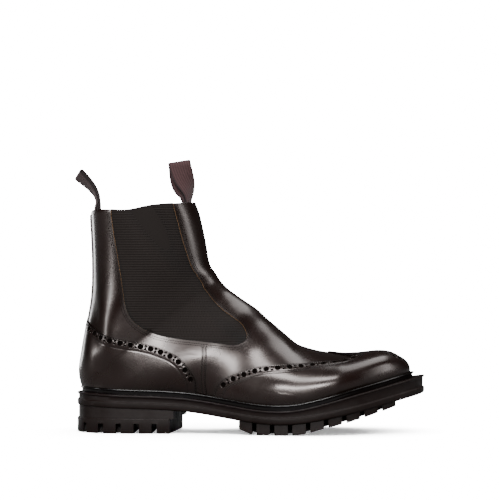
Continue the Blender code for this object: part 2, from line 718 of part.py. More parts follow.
def overlay_cutter(last, name, table, names, foot, look):
    """The region of an overlay as a thick sheet, reaching below the welt's top.

    Lines run straight, in station and girth, from the overlay's edge down to the welt's line,
    whose stations FOOT go from the lateral corner to the boot's toe or heel. The medial side
    repeats the lateral one.
    """
    share = np.linspace(0, 1, len(foot))
    edge_station, edge_girth = edge_curve(table, names, share)
    foot_girth = np.where(foot <= 0, edge_girth, 1.0)
    down = np.linspace(0, 1, CUTTER_ROWS + 1)[None, :]
    station = edge_station[:, None] * (1 - down) + foot[:, None] * down
    girth = edge_girth[:, None] * (1 - down) + foot_girth[:, None] * down
    station = np.concatenate([station, station[-2::-1]])
    girth = np.concatenate([-girth, girth[-2::-1]])
    face = last.at(station, girth, CUTTER_LIFT)
    back = last.at(station, girth, -CUTTER_LIFT)
    for grid in (face, back):
        grid[:, -1, 2] -= 2 * CUTTER_LIFT
        grid[0, :-1, 2] -= 2 * CUTTER_LIFT
        grid[-1, :-1, 2] -= 2 * CUTTER_LIFT
    return helper(sheet_solid(name, face, back, look))


def make_wing_tip(last, look):
    """The toe overlay with its W-shaped edge."""
    face = OVERLAY_SEAT + OVERLAY_THICKNESS
    piece = leather_shell(last, "wing_tip", 0, WING_SHELL_END, face, OVERLAY_SEAT, look)
    foot = (WING[0][1] - FOOT_STEP) * (1 - np.linspace(0, 1, WING_LINES)) ** WING_CROWDING
    region = overlay_cutter(last, "wing_region", WING, WING_COLUMNS, foot, look)
    join(piece, region, "INTERSECT", "MANIFOLD")
    return piece


def make_counter(last, look):
    """The overlay round the heel."""
    face = OVERLAY_SEAT + OVERLAY_THICKNESS
    piece = leather_shell(last, "heel_counter", *COUNTER_SHELL, face, OVERLAY_SEAT, look)
    start = COUNTER[0][1] + FOOT_STEP
    foot = start + (HEEL_STATION - start) * np.linspace(0, 1, COUNTER_LINES) ** COUNTER_CROWDING
    join(piece, overlay_cutter(last, "counter_region", COUNTER, COUNTER_COLUMNS, foot, look), "INTERSECT")
    return piece


def make_back_strip(last, look):
    """The strip over the back seam, from the counter's top to the rim."""
    station = np.linspace(COUNTER[-1][1] + 1.5, RIM_STATION, 10)
    width = STRIP_WIDTH / 2 / last.girth(station)
    side = np.linspace(-1, 1, 5)
    away = 1 - width[:, None] * np.abs(side)[None, :]
    girth = np.where(side[None, :] <= 0, -away, away)
    station = to_rim(np.repeat(station[:, None], 5, 1), girth)
    outer = last.at(station, girth, GAP + OVERLAY_THICKNESS)
    inner = last.at(station, girth, GAP)
    return sheet_solid("back_strip", outer, inner, look)


def make_side_seam(last, side, name, look):
    """The raised strip from the gore's lower edge to the welt."""
    share = np.linspace(0, 1, 7)
    station, girth = edge_curve(SEAM, SEAM_COLUMNS, share)
    across = np.linspace(-1, 1, 3)[None, :]
    station = station[:, None] + SEAM_STATIONS / 2 * across
    girth = side * (girth[:, None] + SEAM_GIRTH / 2 * across)
    outer = last.at(station, girth, OVERLAY_SEAT + SEAM_THICKNESS)
    inner = last.at(station, girth, OVERLAY_SEAT)
    for grid in (outer, inner):
        grid[..., 2] = np.maximum(grid[..., 2], welt_top(grid[..., 0]) + GAP)
    return sheet_solid(name, outer, inner, look)


def make_pull_loop(name, table, seat, cup, look):
    """A folded tape: up one layer, round the fold and down the other, twisting as it rises."""
    steps = LOOP_PANELS + 1
    share = np.linspace(0, 1, steps)
    forward = seat[0] + LOOP_RISE * read(table, LOOP_COLUMNS, "forward", share)
    up = seat[2] + LOOP_RISE * read(table, LOOP_COLUMNS, "up", share)
    twist = np.radians(read(table, LOOP_COLUMNS, "twist", share))
    apart = read(table, LOOP_COLUMNS, "apart", share)
    path = np.stack([forward, np.full(steps, seat[1]), up], 1)
    along = np.gradient(path, axis=0)
    along = along / np.linalg.norm(along, axis=1, keepdims=True)
    level = np.stack([along[:, 2], np.zeros(steps), -along[:, 0]], 1)
    wide = np.cos(twist)[:, None] * np.array((0.0, 1.0, 0.0)) + np.sin(twist)[:, None] * level
    out = np.cross(wide, along)
    turn = np.linspace(0, np.pi, FOLD_PANELS + 1)[1:-1, None]
    fold = path[-1] + 0.5 * apart[-1] * (out[-1] * np.cos(turn) + along[-1] * np.sin(turn))
    fold_out = out[-1] * np.cos(turn) + along[-1] * np.sin(turn)
    middle = np.concatenate([path + out * apart[:, None] / 2, fold, (path - out * apart[:, None] / 2)[::-1]])
    facing = np.concatenate([out, fold_out, -out[::-1]])
    width = np.concatenate([wide, np.repeat(wide[-1:], len(fold), 0), wide[::-1]])
    bow = np.concatenate([out * (1 - share[:, None]), 0 * fold, out[::-1] * (1 - share[::-1, None])])
    side = np.linspace(-1, 1, 4)[None, :, None]
    sheet = middle[:, None] + width[:, None] * side * TAPE_WIDTH / 2 + bow[:, None] * cup * side**2
    half = facing[:, None] * TAPE_THICKNESS / 2
    return sheet_solid(name, sheet + half, sheet - half, look)


def make_insole(look):
    """Insole on the welt, with its cork filling down in the welt's hollow."""
    inside = grow((UPPER_HEEL_MARGIN, UPPER_SIDE_MARGIN, UPPER_TOE_MARGIN), WALL + 4 * GAP)
    filling = grow((WELT_HEEL_MARGIN, WELT_SIDE_MARGIN, WELT_TOE_MARGIN), WELT_REACH + GAP)
    loops = [
        plan_loop(grow(inside, 0.0008), -GAP - INSOLE_THICKNESS, INSOLE_PANELS),
        plan_loop(inside, 0.0008 - GAP - INSOLE_THICKNESS, INSOLE_PANELS),
        plan_loop(inside, -GAP, INSOLE_PANELS),
        plan_loop(filling, -GAP, INSOLE_PANELS),
        plan_loop(filling, WELT_THICKNESS - GAP, INSOLE_PANELS),
    ]
    return loops_solid("insole", loops, look)


def make_welt(look):
    """The welt: a strip with a rounded lip, all round the foot."""
    margins = (WELT_HEEL_MARGIN, WELT_SIDE_MARGIN, WELT_TOE_MARGIN)
    loops = [
        plan_loop(grow(margins, 0.0004), 0.0, WELT_PANELS),
        plan_loop(margins, 0.0006, WELT_PANELS),
        plan_loop(margins, 0.0014, WELT_PANELS),
        plan_loop(grow(margins, 0.0010), 0.0020, WELT_PANELS),
        plan_loop(grow(margins, 0.0010), WELT_THICKNESS - GAP, WELT_PANELS),
        plan_loop(grow(margins, WELT_REACH), WELT_THICKNESS - GAP, WELT_PANELS),
        plan_loop(grow(margins, WELT_REACH), 0.0, WELT_PANELS),
    ]
    return loops_solid("welt", loops, look, ring=True)


def block(x0, x1, y0, y1, bottom, top):
    """Corners of a six-sided block whose sides follow functions of x."""
    corners = []
    for z in (bottom, top):
        for x, y in ((x0, y0), (x1, y0), (x1, y1), (x0, y1)):
            corners.append((x, float(y(x)), float(z(x))))
    return corners


BLOCK_FACES = ((3, 2, 1, 0), (4, 5, 6, 7), (0, 1, 5, 4), (1, 2, 6, 5), (2, 3, 7, 6), (3, 0, 4, 7))


def blocks_object(name, blocks, look):
    """Separate blocks as one helper object for a Boolean."""
    points = []
    faces = []
    for corners in blocks:
        start = len(points)
        points.extend(corners)
        faces.extend(tuple(start + i for i in face) for face in BLOCK_FACES)
    return helper(finish_mesh(name, points, faces, look))


def forepart_lugs():
    """Blocks of the tread: a row along each side and a row down the middle."""
    def side_line(side, inset):
        def line(x):
            centre, half = plan_width(np.array([x]), 0.0, 0.0, 0.0)
            return centre[0] + side * max(half[0] - inset, 0.0)

        return line

    def bottom(x):
        return tread_height(np.array([x]))[0]

    def top(x):
        return outsole_bottom(np.array([x]))[0] + 0.0015

    blocks = []
    count = int((SOLE_LENGTH / 2 - 0.010 - LUG_START) / LUG_PITCH)
    for k in range(count):
        x0 = LUG_START + k * LUG_PITCH
        x1 = x0 + LUG_PITCH - LUG_GAP
        ends = np.array([x0, x1])
        half = plan_width(ends, 0.0, 0.0, 0.0)[1].min()
        reach = min(LUG_REACH, 0.80 * half)
        for side in (-1, 1):
            lines = side_line(side, LUG_INSET), side_line(side, reach)
            low, high = lines if side < 0 else lines[::-1]
            blocks.append(block(x0, x1, low, high, bottom, top))
        middle = half - LUG_REACH - LUG_GAP
        shift = LUG_PITCH / 2
        if middle > 0.006 and k < count - 1:
            low, high = side_line(-1, reach + LUG_GAP), side_line(1, reach + LUG_GAP)
            blocks.append(block(x0 + shift, x1 + shift, low, high, bottom, top))
    return blocks


def make_outsole(look):
    """Rubber outsole: top lip, groove and rib round its side, and the forepart's lugs."""
    edge = (0.0, 0.0, 0.0)

    def under(part):
        return lambda x: WELT_THICKNESS + outsole_thickness(x) * part

    def above_bottom(height):
        return lambda x: WELT_THICKNESS + outsole_thickness(x) - height

    loops = [
        plan_loop(grow(edge, 0.0004), WELT_THICKNESS, OUTSOLE_PANELS),
        plan_loop(edge, WELT_THICKNESS + 0.0005, OUTSOLE_PANELS),
        plan_loop(edge, WELT_THICKNESS + LIP_HEIGHT, OUTSOLE_PANELS),
        plan_loop(grow(edge, GROOVE_DEPTH), WELT_THICKNESS + LIP_HEIGHT + 0.0010, OUTSOLE_PANELS),
        plan_loop(grow(edge, GROOVE_DEPTH), above_bottom(RIB_HEIGHT + 0.0010), OUTSOLE_PANELS),
        plan_loop(edge, above_bottom(RIB_HEIGHT), OUTSOLE_PANELS),
        plan_loop(grow(edge, 0.0003), above_bottom(0.0012), OUTSOLE_PANELS),
        plan_loop(grow(edge, 0.0014), under(1.0), OUTSOLE_PANELS),
    ]
    outsole = loops_solid("outsole", loops, look)
    lugs = blocks_object("lug_blocks", forepart_lugs(), look)
    join(outsole, lugs, "UNION")
    return outsole


def heel_outline(inset, breast, steps):
    """Half outlines of the heel from its back to the breast, which slants towards the medial side."""
    margins = grow((0.0, 0.0, 0.0), inset)
    low = plan_ends(inset, inset)[0]
    turn = 1 - np.cos(np.pi / 2 * np.arange(steps + 1) / steps)
    rows = []
    for side in (-1, 1):
        x = low + (breast + (side > 0) * BREAST_SLANT - low) * turn
        centre, half = plan_width(x, *margins)
        rows.append(np.stack([x, centre + side * half], 1))
    return np.concatenate([rows[0], rows[1][:0:-1]])


def heel_solid(name, levels, look):
    """Heel lift from outlines at levels given as (inset, breast, height function)."""
    loops = []
    for inset, breast, height in levels:
        flat = heel_outline(inset, breast, HEEL_PANELS)
        loops.append(np.column_stack([flat, height(flat[:, 0])]))
    return loops_solid(name, loops, look)


def make_heel_block(look):
    """The recessed lift between outsole and top piece."""
    levels = [
        (HEEL_BLOCK_INSET, HEEL_BREAST, lambda x: outsole_bottom(x) - GAP),
        (HEEL_BLOCK_INSET, HEEL_BREAST, lambda x: 0 * x + TOP_PIECE_THICKNESS + GAP),
    ]
    return heel_solid("heel_block", levels, look)


def make_top_piece(look):
    """The lift that stands on the floor, with slots cut in from its sides and across its front."""
    breast = HEEL_BREAST - BREAST_STEP
    levels = [
        (0.0004, breast, lambda x: 0 * x + TOP_PIECE_THICKNESS),
        (0.0, breast, lambda x: 0 * x + TOP_PIECE_THICKNESS - 0.0005),
        (0.0, breast, lambda x: 0 * x + 0.0006),
        (0.0006, breast - 0.0004, lambda x: 0 * x),
    ]
    piece = heel_solid("heel_top_piece", levels, look)
    blocks = []
    for k in range(5):
        x1 = HEEL_BREAST - 0.0145 - k * HEEL_SLOT_PITCH
        x0 = x1 - HEEL_SLOT_WIDTH * (1.0 if k < 4 else 0.6)
        if k < 2:
            spans = ((-HEEL_WIDTH, HEEL_WIDTH),)
        else:
            edge = plan_width(np.array([(x0 + x1) / 2]), 0.0, 0.0, 0.0)[1][0]
            inner = edge - HEEL_SLOT_REACH * (1.0 if k < 4 else 0.7)
            spans = ((-HEEL_WIDTH, -inner), (inner, HEEL_WIDTH))
        for low, high in spans:
            blocks.append(
                block(
                    x0, x1, lambda x, y=low: y, lambda x, y=high: y, lambda x: -0.005, lambda x: HEEL_SLOT_DEPTH
                )
            )
    join(piece, blocks_object("heel_slots", blocks, look), "DIFFERENCE")
    return piece


def material(name, colour, roughness):
    """A plain Principled material."""
    look = bpy.data.materials.new(name)
    look.use_nodes = True
    shader = look.node_tree.nodes["Principled BSDF"]
    shader.inputs["Base Color"].default_value = (*colour, 1.0)
    shader.inputs["Roughness"].default_value = roughness
    shader.inputs["Metallic"].default_value = 0.0
    return look


def clear_scene():
    """Removes what the scene holds."""
    for obj in list(bpy.data.objects):
        bpy.data.objects.remove(obj, do_unlink=True)


def main():
    """Builds the boot."""
    clear_scene()
    last = LastSurface()
    calf = {
        name: material(name, (0.020, 0.011, 0.009), 0.30)
        for name in ("calf_upper", "calf_wing", "calf_counter", "calf_strip", "calf_seam")
    }
    elastic = material("elastic", (0.022, 0.014, 0.012), 0.85)
    tape = material("webbing", (0.070, 0.045, 0.045), 0.90)
    cork = material("insole_leather", (0.30, 0.19, 0.11), 0.60)
    welt_edge = material("welt_leather", (0.012, 0.008, 0.007), 0.40)
    rubber = material("sole_rubber", (0.022, 0.013, 0.011), 0.55)
    heel_rubber = material("heel_rubber", (0.020, 0.013, 0.011), 0.60)
    upper = make_upper(last, calf["calf_upper"])
    make_gore(last, upper, -1, "gore_lateral", elastic)
    make_gore(last, upper, 1, "gore_medial", elastic)
    make_wing_tip(last, calf["calf_wing"])
    make_counter(last, calf["calf_counter"])
    make_back_strip(last, calf["calf_strip"])
    make_side_seam(last, -1, "side_seam_lateral", calf["calf_seam"])
    make_side_seam(last, 1, "side_seam_medial", calf["calf_seam"])
    wall_front = last.at(RIM_STATION, 0.0, -WALL)
    wall_back = last.at(RIM_STATION - LOOP_DROP, 1.0, -WALL)
    front_seat = wall_front - np.array((FRONT_LOOP_INSET, 0.0, 0.0))
    back_seat = wall_back + np.array((BACK_LOOP_INSET, 0.0, 0.0))
    make_pull_loop("pull_loop_front", FRONT_LOOP, front_seat, -LOOP_CUP, tape)
    make_pull_loop("pull_loop_back", BACK_LOOP, back_seat, LOOP_CUP, tape)
    make_insole(cork)
    make_welt(welt_edge)
    make_outsole(rubber)
    make_heel_block(heel_rubber)
    make_top_piece(heel_rubber)


main()
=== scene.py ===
"""A brogue ankle boot: the finish of every surface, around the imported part.

The scene repeats the part's own sizes and most of its tables, so that its finer surfaces lie
where the part's do. Metres, Z up, toe along +X, medial side along +Y. A place on the leather is a station,
which counts from the toe's tip back to the heel and up the shaft, and a girth, which runs from -1
at the lateral edge over 0 at the ridge to 1 at the medial edge.
"""

import bpy
import numpy as np
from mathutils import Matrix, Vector


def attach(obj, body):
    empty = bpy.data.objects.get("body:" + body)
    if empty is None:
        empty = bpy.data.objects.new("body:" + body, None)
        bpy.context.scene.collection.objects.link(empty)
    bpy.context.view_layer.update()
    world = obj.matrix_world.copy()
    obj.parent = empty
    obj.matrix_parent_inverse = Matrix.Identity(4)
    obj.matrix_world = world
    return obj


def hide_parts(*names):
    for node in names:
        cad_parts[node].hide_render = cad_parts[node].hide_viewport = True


bl_info = {
    "name": "Brogue boot",
    "version": (1, 0, 0),
    "blender": (4, 5, 0),
    "location": "View3D > Sidebar > Boot",
    "description": "Builds the surfaces, sewing and studio of a brogue ankle boot",
    "category": "Add Mesh",
}

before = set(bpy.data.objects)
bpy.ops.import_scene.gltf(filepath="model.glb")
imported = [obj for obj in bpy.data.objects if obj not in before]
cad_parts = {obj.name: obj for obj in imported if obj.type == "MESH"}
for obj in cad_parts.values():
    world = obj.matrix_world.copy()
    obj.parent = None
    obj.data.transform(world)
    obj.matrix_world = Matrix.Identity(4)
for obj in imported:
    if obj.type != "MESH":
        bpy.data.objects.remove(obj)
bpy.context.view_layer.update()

# The part's own sizes.
SOLE_LENGTH = 0.3124
BALL_WIDTH = 0.113
WAIST_WIDTH = 0.0715
HEEL_WIDTH = 0.074
INFLARE = 0.008
HEEL_CAP_LENGTH = 0.038
TOE_CAP_LENGTH = 0.070
CAP_ROUNDNESS = 2.1
SEAT_HEIGHT = 0.0386
BALL_HEIGHT = 0.0266
TOE_SPRING = 0.0294
WELT_THICKNESS = 0.0051
OUTSOLE_THICKNESS = 0.0120
TOE_THICKNESS = 0.0160
LIP_HEIGHT = 0.0014
GROOVE_DEPTH = 0.0012
RIB_HEIGHT = 0.0054
LUG_START = -0.0085
LUG_PITCH = 0.0158
LUG_GAP = 0.0040
LUG_REACH = 0.0230
LUG_INSET = 0.0030
TREAD_RISE = 0.0293
HEEL_BREAST = -0.0670
BREAST_SLANT = 0.0070
BREAST_STEP = 0.0035
TOP_PIECE_THICKNESS = 0.0131
HEEL_BLOCK_INSET = 0.0012
HEEL_SLOT_DEPTH = 0.0090
HEEL_SLOT_WIDTH = 0.0048
HEEL_SLOT_PITCH = 0.0160
HEEL_SLOT_REACH = 0.0160
WELT_HEEL_MARGIN = 0.0028
WELT_SIDE_MARGIN = 0.0016
WELT_TOE_MARGIN = 0.0095
UPPER_HEEL_MARGIN = 0.0050
UPPER_SIDE_MARGIN = 0.0062
UPPER_TOE_MARGIN = 0.0138
WELT_REACH = 0.0100
FRAME_SHIFT = (0.0020, 0.0, 0.0)
TOE_DEPTH = 0.0246
INSTEP_RISE = 0.0717
SHAFT_RISE = 0.1651
BACK_RISE = 0.1577
HEEL_CURVE = 0.0069
COLLAR_DEPTH = 0.0945
COLLAR_WIDTH = 0.0780
WALL = 0.0022
RIM_DIP = 0.0040
RIM_NOTCH = 0.05
RIM_STRETCH = 40.0
RIM_SAG = 0.0028
SAG_GIRTH = 0.58
SAG_WIDTH = 0.13
STRIP_WIDTH = 0.0090
TAPE_WIDTH = 0.0200
TAPE_THICKNESS = 0.0014
LOOP_RISE = 0.0420
FRONT_LOOP_INSET = 0.0036
BACK_LOOP_INSET = 0.0020
LOOP_CUP = 0.0032
LOOP_DROP = 4.0
GAP = 0.00035
HEEL_STATION = 257.0
RIM_STATION = 388.0
TOP_STATION = 400.0
STATIONS_PER_METRE = 1000.0

# The part's own tables, except that the gore's and the counter's have closer rows near the heel.
# That makes those edges smooth there, and moves them by up to 3 mm from the part's.
OUTLINE_COLUMNS = ("along", "heel", "waist", "ball", "swing")
OUTLINE = (
    (0.000, 1.00, 0.00, 0.000, 0.10),
    (0.120, 0.99, 0.00, 0.000, 0.05),
    (0.200, 0.97, 0.00, 0.000, -0.15),
    (0.290, 0.40, 0.54, 0.000, -0.30),
    (0.385, 0.00, 1.00, 0.000, -0.46),
    (0.480, 0.00, 0.42, 0.500, -0.56),
    (0.570, 0.00, 0.00, 0.915, -0.38),
    (0.640, 0.00, 0.00, 0.985, -0.09),
    (0.700, 0.00, 0.00, 0.995, 0.03),
    (0.770, 0.00, 0.00, 0.955, 0.15),
    (0.850, 0.00, 0.00, 0.875, 0.40),
    (0.920, 0.00, 0.00, 0.800, 0.68),
    (1.000, 0.00, 0.00, 0.740, 1.00),
)
RISE_COLUMNS = ("along", "seat", "toe")
RISE = (
    (0.000, 1.18, 0.000),
    (0.064, 1.14, 0.000),
    (0.131, 1.05, 0.000),
    (0.199, 1.00, 0.000),
    (0.266, 0.93, 0.000),
    (0.337, 0.78, 0.000),
    (0.404, 0.53, 0.000),
    (0.468, 0.27, 0.000),
    (0.522, 0.08, 0.000),
    (0.577, 0.00, 0.000),
    (0.631, 0.00, 0.034),
    (0.686, 0.00, 0.150),
    (0.740, 0.00, 0.300),
    (0.794, 0.00, 0.459),
    (0.846, 0.00, 0.602),
    (0.903, 0.00, 0.759),
    (0.958, 0.00, 0.901),
    (1.000, 0.00, 1.000),
)
TREAD_COLUMNS = ("along", "thicker", "tread")
TREAD = (
    (0.000, 0.00, 0.00),
    (0.440, 0.00, 0.26),
    (0.473, 0.00, 0.17),
    (0.500, 0.00, 0.05),
    (0.530, 0.00, 0.00),
    (0.611, 0.08, 0.00),
    (0.660, 0.25, 0.06),
    (0.690, 0.40, 0.15),
    (0.740, 0.68, 0.28),
    (0.790, 0.90, 0.42),
    (0.860, 1.00, 0.65),
    (0.922, 1.00, 0.86),
    (0.960, 1.00, 1.00),
    (1.000, 1.00, 1.16),
)
LAST_COLUMNS = ("station", "along", "climb", "hollow", "lead", "reach", "toe", "instep", "leg")
LAST = (
    (0, 1.0000, 0.000, 0.00, 0.000, 0.000, 0.000, 0.000, 0.000),
    (3, 0.9980, 0.000, 0.00, 0.000, 0.000, 0.190, 0.000, 0.000),
    (7, 0.9891, 0.000, 0.00, 0.000, 0.000, 0.400, 0.000, 0.000),
    (12, 0.9727, 0.000, 0.00, 0.000, 0.000, 0.590, 0.000, 0.000),
    (20, 0.9454, 0.000, 0.00, 0.000, 0.000, 0.840, 0.000, 0.000),
    (29, 0.9137, 0.000, 0.00, 0.000, 0.000, 1.000, 0.000, 0.000),
    (43, 0.8642, 0.000, 0.00, 0.003, 0.000, 1.080, 0.010, 0.000),
    (61, 0.7993, 0.000, 0.00, 0.010, 0.000, 0.760, 0.170, 0.000),
    (81, 0.7242, 0.000, 0.00, 0.027, 0.000, 0.420, 0.395, 0.000),
    (104, 0.6321, 0.000, 0.00, 0.061, 0.000, 0.150, 0.605, 0.000),
    (129, 0.5263, 0.000, 0.00, 0.112, 0.000, 0.000, 0.762, 0.000),
    (158, 0.4034, 0.000, 0.00, 0.180, 0.000, 0.000, 0.883, 0.000),
    (186, 0.2771, 0.000, 0.00, 0.230, 0.082, 0.000, 0.900, 0.043),
    (211, 0.1611, 0.000, 0.00, 0.190, 0.429, 0.000, 0.720, 0.171),
    (229, 0.0792, 0.000, 0.00, 0.130, 0.766, 0.000, 0.540, 0.285),
    (242, 0.0314, 0.000, 0.00, 0.080, 1.006, 0.000, 0.400, 0.373),
    (251, 0.0075, 0.000, 0.00, 0.040, 1.164, 0.000, 0.290, 0.443),
    (257, 0.0000, 0.000, 0.00, 0.020, 1.228, 0.000, 0.220, 0.491),
    (262, 0.0000, 0.027, -0.22, 0.000, 1.289, 0.000, 0.150, 0.540),
    (270, 0.0000, 0.082, -0.38, 0.000, 1.272, 0.000, 0.080, 0.594),
    (288, 0.0000, 0.204, -0.06, 0.000, 1.213, 0.000, 0.020, 0.659),
    (305, 0.0000, 0.324, 0.48, 0.000, 1.158, 0.000, 0.000, 0.711),
    (322, 0.0000, 0.458, 1.08, 0.000, 1.101, 0.000, 0.000, 0.761),
    (341, 0.0000, 0.616, 1.30, 0.000, 1.065, 0.000, 0.000, 0.820),
    (358, 0.0000, 0.756, 1.27, 0.000, 1.043, 0.000, 0.000, 0.884),
    (374, 0.0000, 0.883, 1.14, 0.000, 1.023, 0.000, 0.000, 0.947),
    (388, 0.0000, 1.000, 0.98, 0.000, 1.000, 0.000, 0.000, 1.000),
    (400, 0.0000, 1.100, 0.85, 0.000, 0.981, 0.000, 0.000, 1.056),
)
CROSS_COLUMNS = (
    "station", "base", "lateral", "medial", "heel", "collar", "widest", "low", "high", "ridge",
)
CROSS = (
    (0, 1.03, 0.00, 0.00, 0.00, 0.00, 0.28, 2.2, 2.30, 0.000),
    (29, 1.03, 0.00, 0.00, 0.00, 0.00, 0.28, 2.2, 2.35, 0.010),
    (61, 1.02, 0.01, 0.01, 0.00, 0.00, 0.27, 2.2, 2.15, 0.045),
    (104, 1.01, 0.02, 0.03, 0.00, 0.00, 0.27, 2.2, 2.00, 0.070),
    (129, 0.98, 0.06, 0.12, 0.00, 0.00, 0.29, 2.2, 1.92, 0.060),
    (158, 0.80, 0.18, 0.26, 0.00, 0.00, 0.33, 2.2, 1.90, 0.045),
    (186, 0.55, 0.18, 0.22, 0.22, 0.04, 0.35, 2.2, 1.90, 0.030),
    (211, 0.32, 0.08, 0.10, 0.50, 0.06, 0.34, 2.2, 1.92, 0.020),
    (236, 0.08, 0.02, 0.02, 0.78, 0.06, 0.31, 2.2, 1.95, 0.010),
    (257, 0.00, 0.00, 0.00, 0.86, 0.06, 0.31, 2.15, 1.98, 0.005),
    (288, 0.00, 0.00, 0.00, 0.72, 0.22, 0.35, 2.1, 2.00, 0.000),
    (322, 0.00, 0.00, 0.00, 0.36, 0.58, 0.42, 2.05, 2.02, 0.000),
    (358, 0.00, 0.00, 0.00, 0.08, 0.88, 0.47, 2.05, 2.05, 0.000),
    (388, 0.00, 0.00, 0.00, 0.00, 1.00, 0.49, 2.05, 2.05, 0.000),
    (400, 0.00, 0.00, 0.00, 0.00, 1.02, 0.49, 2.05, 2.05, 0.000),
)
GORE_COLUMNS = ("station", "front", "back")
GORE = (
    (168.5, 0.3720, 0.4020),
    (170.5, 0.3460, 0.4420),
    (174.0, 0.3140, 0.4680),
    (181.0, 0.2720, 0.4820),
    (195.0, 0.2380, 0.4964),
    (205.0, 0.2198, 0.5042),
    (212.0, 0.2070, 0.5091),
    (220.0, 0.1910, 0.5144),
    (230.0, 0.1710, 0.5186),
    (236.0, 0.1596, 0.5172),
    (241.0, 0.1504, 0.5142),
    (246.0, 0.1424, 0.5079),
    (250.0, 0.1360, 0.4999),
    (253.5, 0.1320, 0.4905),
    (257.0, 0.1280, 0.4750),
    (260.5, 0.1259, 0.4853),
    (264.0, 0.1258, 0.4976),
    (270.0, 0.1280, 0.5165),
    (276.0, 0.1324, 0.5343),
    (281.0, 0.1360, 0.5490),
    (290.0, 0.1512, 0.5744),
    (300.0, 0.1680, 0.6001),
    (325.0, 0.2120, 0.6510),
    (352.0, 0.2490, 0.6830),
    (375.0, 0.2670, 0.7000),
    (400.0, 0.2700, 0.6920),
)
WING_COLUMNS = ("share", "station", "girth")
WING = (
    (0.00, 157.0, 1.000),
    (0.05, 159.5, 0.900),
    (0.11, 159.5, 0.810),
    (0.18, 156.0, 0.745),
    (0.27, 148.5, 0.662),
    (0.36, 138.5, 0.596),
    (0.46, 125.0, 0.546),
    (0.56, 110.0, 0.511),
    (0.66, 93.0, 0.489),
    (0.75, 77.0, 0.468),
    (0.82, 65.0, 0.430),
    (0.87, 58.0, 0.370),
    (0.91, 56.5, 0.290),
    (0.95, 62.0, 0.180),
    (0.98, 71.0, 0.080),
    (1.00, 81.5, 0.000),
)
COUNTER_COLUMNS = ("share", "station", "girth")
COUNTER = (
    (0.0000, 169.0, 1.0000),
    (0.0830, 176.4, 0.8710),
    (0.1670, 187.6, 0.7710),
    (0.2500, 200.3, 0.6910),
    (0.3330, 213.5, 0.6380),
    (0.4170, 225.6, 0.6140),
    (0.4577, 232.0, 0.6048),
    (0.4997, 239.1, 0.5968),
    (0.5418, 246.5, 0.5878),
    (0.5603, 250.0, 0.5811),
    (0.5790, 253.5, 0.5716),
    (0.5993, 257.0, 0.5545),
    (0.6195, 260.0, 0.5681),
    (0.6517, 264.0, 0.5918),
    (0.6840, 268.0, 0.6158),
    (0.7499, 277.2, 0.6714),
    (0.7924, 284.0, 0.7137),
    (0.8329, 290.9, 0.7589),
    (0.9170, 304.7, 0.8700),
    (1.0000, 314.0, 1.0000),
)
SEAM_COLUMNS = ("share", "station", "girth")
SEAM = (
    (0.00, 163.5, 0.990),
    (0.33, 173.5, 0.830),
    (0.66, 184.5, 0.665),
    (1.00, 197.0, 0.528),
)
LOOP_COLUMNS = ("share", "forward", "up", "twist", "apart")
FRONT_LOOP = (
    (0.00, 0.000, -0.36, 0.0, 0.0026),
    (0.20, -0.005, 0.00, 8.0, 0.0030),
    (0.42, -0.036, 0.22, 28.0, 0.0060),
    (0.70, -0.130, 0.48, 60.0, 0.0086),
    (1.00, -0.195, 0.78, 82.0, 0.0086),
)
BACK_LOOP = (
    (0.00, 0.040, -0.36, 0.0, 0.0017),
    (0.20, 0.002, 0.14, 0.0, 0.0017),
    (0.40, 0.030, 0.29, -5.0, 0.0018),
    (0.65, -0.050, 0.53, -16.0, 0.0024),
    (1.00, -0.352, 0.88, -29.0, 0.0030),
)

# Soft creases: station, girth, turn from the way down the boot in degrees, half lengths along
# and across in metres, and the rise, negative for a trough.
CREASES = (
    (236.0, -0.020, 90.0, 0.030, 0.0060, -0.0005),
    (222.0, 0.015, 96.0, 0.034, 0.0070, -0.0004),
    (206.0, -0.010, 84.0, 0.028, 0.0080, -0.0004),
    (292.0, -0.800, 20.0, 0.034, 0.0080, -0.0012),
    (292.0, 0.790, -20.0, 0.034, 0.0080, -0.0012),
    (262.0, -0.780, 60.0, 0.026, 0.0080, -0.0003),
    (260.0, 0.780, -60.0, 0.026, 0.0080, -0.0003),
    (178.0, -0.300, 60.0, 0.030, 0.0080, -0.0007),
    (174.0, 0.320, -60.0, 0.030, 0.0080, -0.0007),
    (118.0, 0.000, 90.0, 0.045, 0.0070, -0.0006),
)
# The gore's hollow, as forward and up, and the fine work on the leather.
HOLLOW_TOP = (-0.0923, 0.1952)
HOLLOW_FOOT = (-0.0455, 0.1358)
HOLLOW_WIDTH = 0.013
BAND = 0.016
PAIR_WAY = 0.00135
WING_TURN = 0.82
WING_PUNCH_WAY = 0.0038
WING_PUNCH_PITCH = 0.0102
WING_GROOVES = (0.0013, 0.0070, 0.0084)
COUNTER_PUNCH_WAY = 0.0034
COUNTER_PUNCH_PITCH = 0.0093
COUNTER_GROOVES = (0.0013, 0.0076)
MEDAL_START = 4.0
MEDAL_END = 46.0
MEDAL_GIRTH = 0.62
MEDAL_MIDDLE = 22.0
SEAM_WIDTH = 0.0043
SOLE_STEPS = 140
HEEL_STEPS = 60
WING_LINES = 30
COUNTER_LINES = 26
WING_ROW_START = 0.0125
COUNTER_ROW_START = 0.0135
ROW_END = 0.002
EDGE_STEP = 0.00046
BAND_STEP = 0.00042
EDGE_RISE = (0.0, 0.75, 0.93, 0.99)
GROOVE_DIP = 0.00012
GROOVE_WIDTH = 0.00060
BAND_SWELL = 0.00015
BAND_SWELL_WIDTH = 0.0022
HOLE_RIM = 0.00004
# Reaches of darkening: the overlays' darker edges, painted shade at the overlays' foot by the welt, and on
# the upper darker gore edges with painted shade beside the overlays and at the welt.
EDGE_DARK = 0.0011
FOOT_SHADE = 0.0040
PANEL_TONE_AND_SHADE = 0.0030
MEDAL_SINK = 0.0026
MEDAL_RING = 0.0052
MEDAL_ARC = 0.0118
MEDAL_SPREAD = 0.0030
MEDAL_TURN = 28
GORE_STITCH_WAYS = (0.0022, 0.0040)
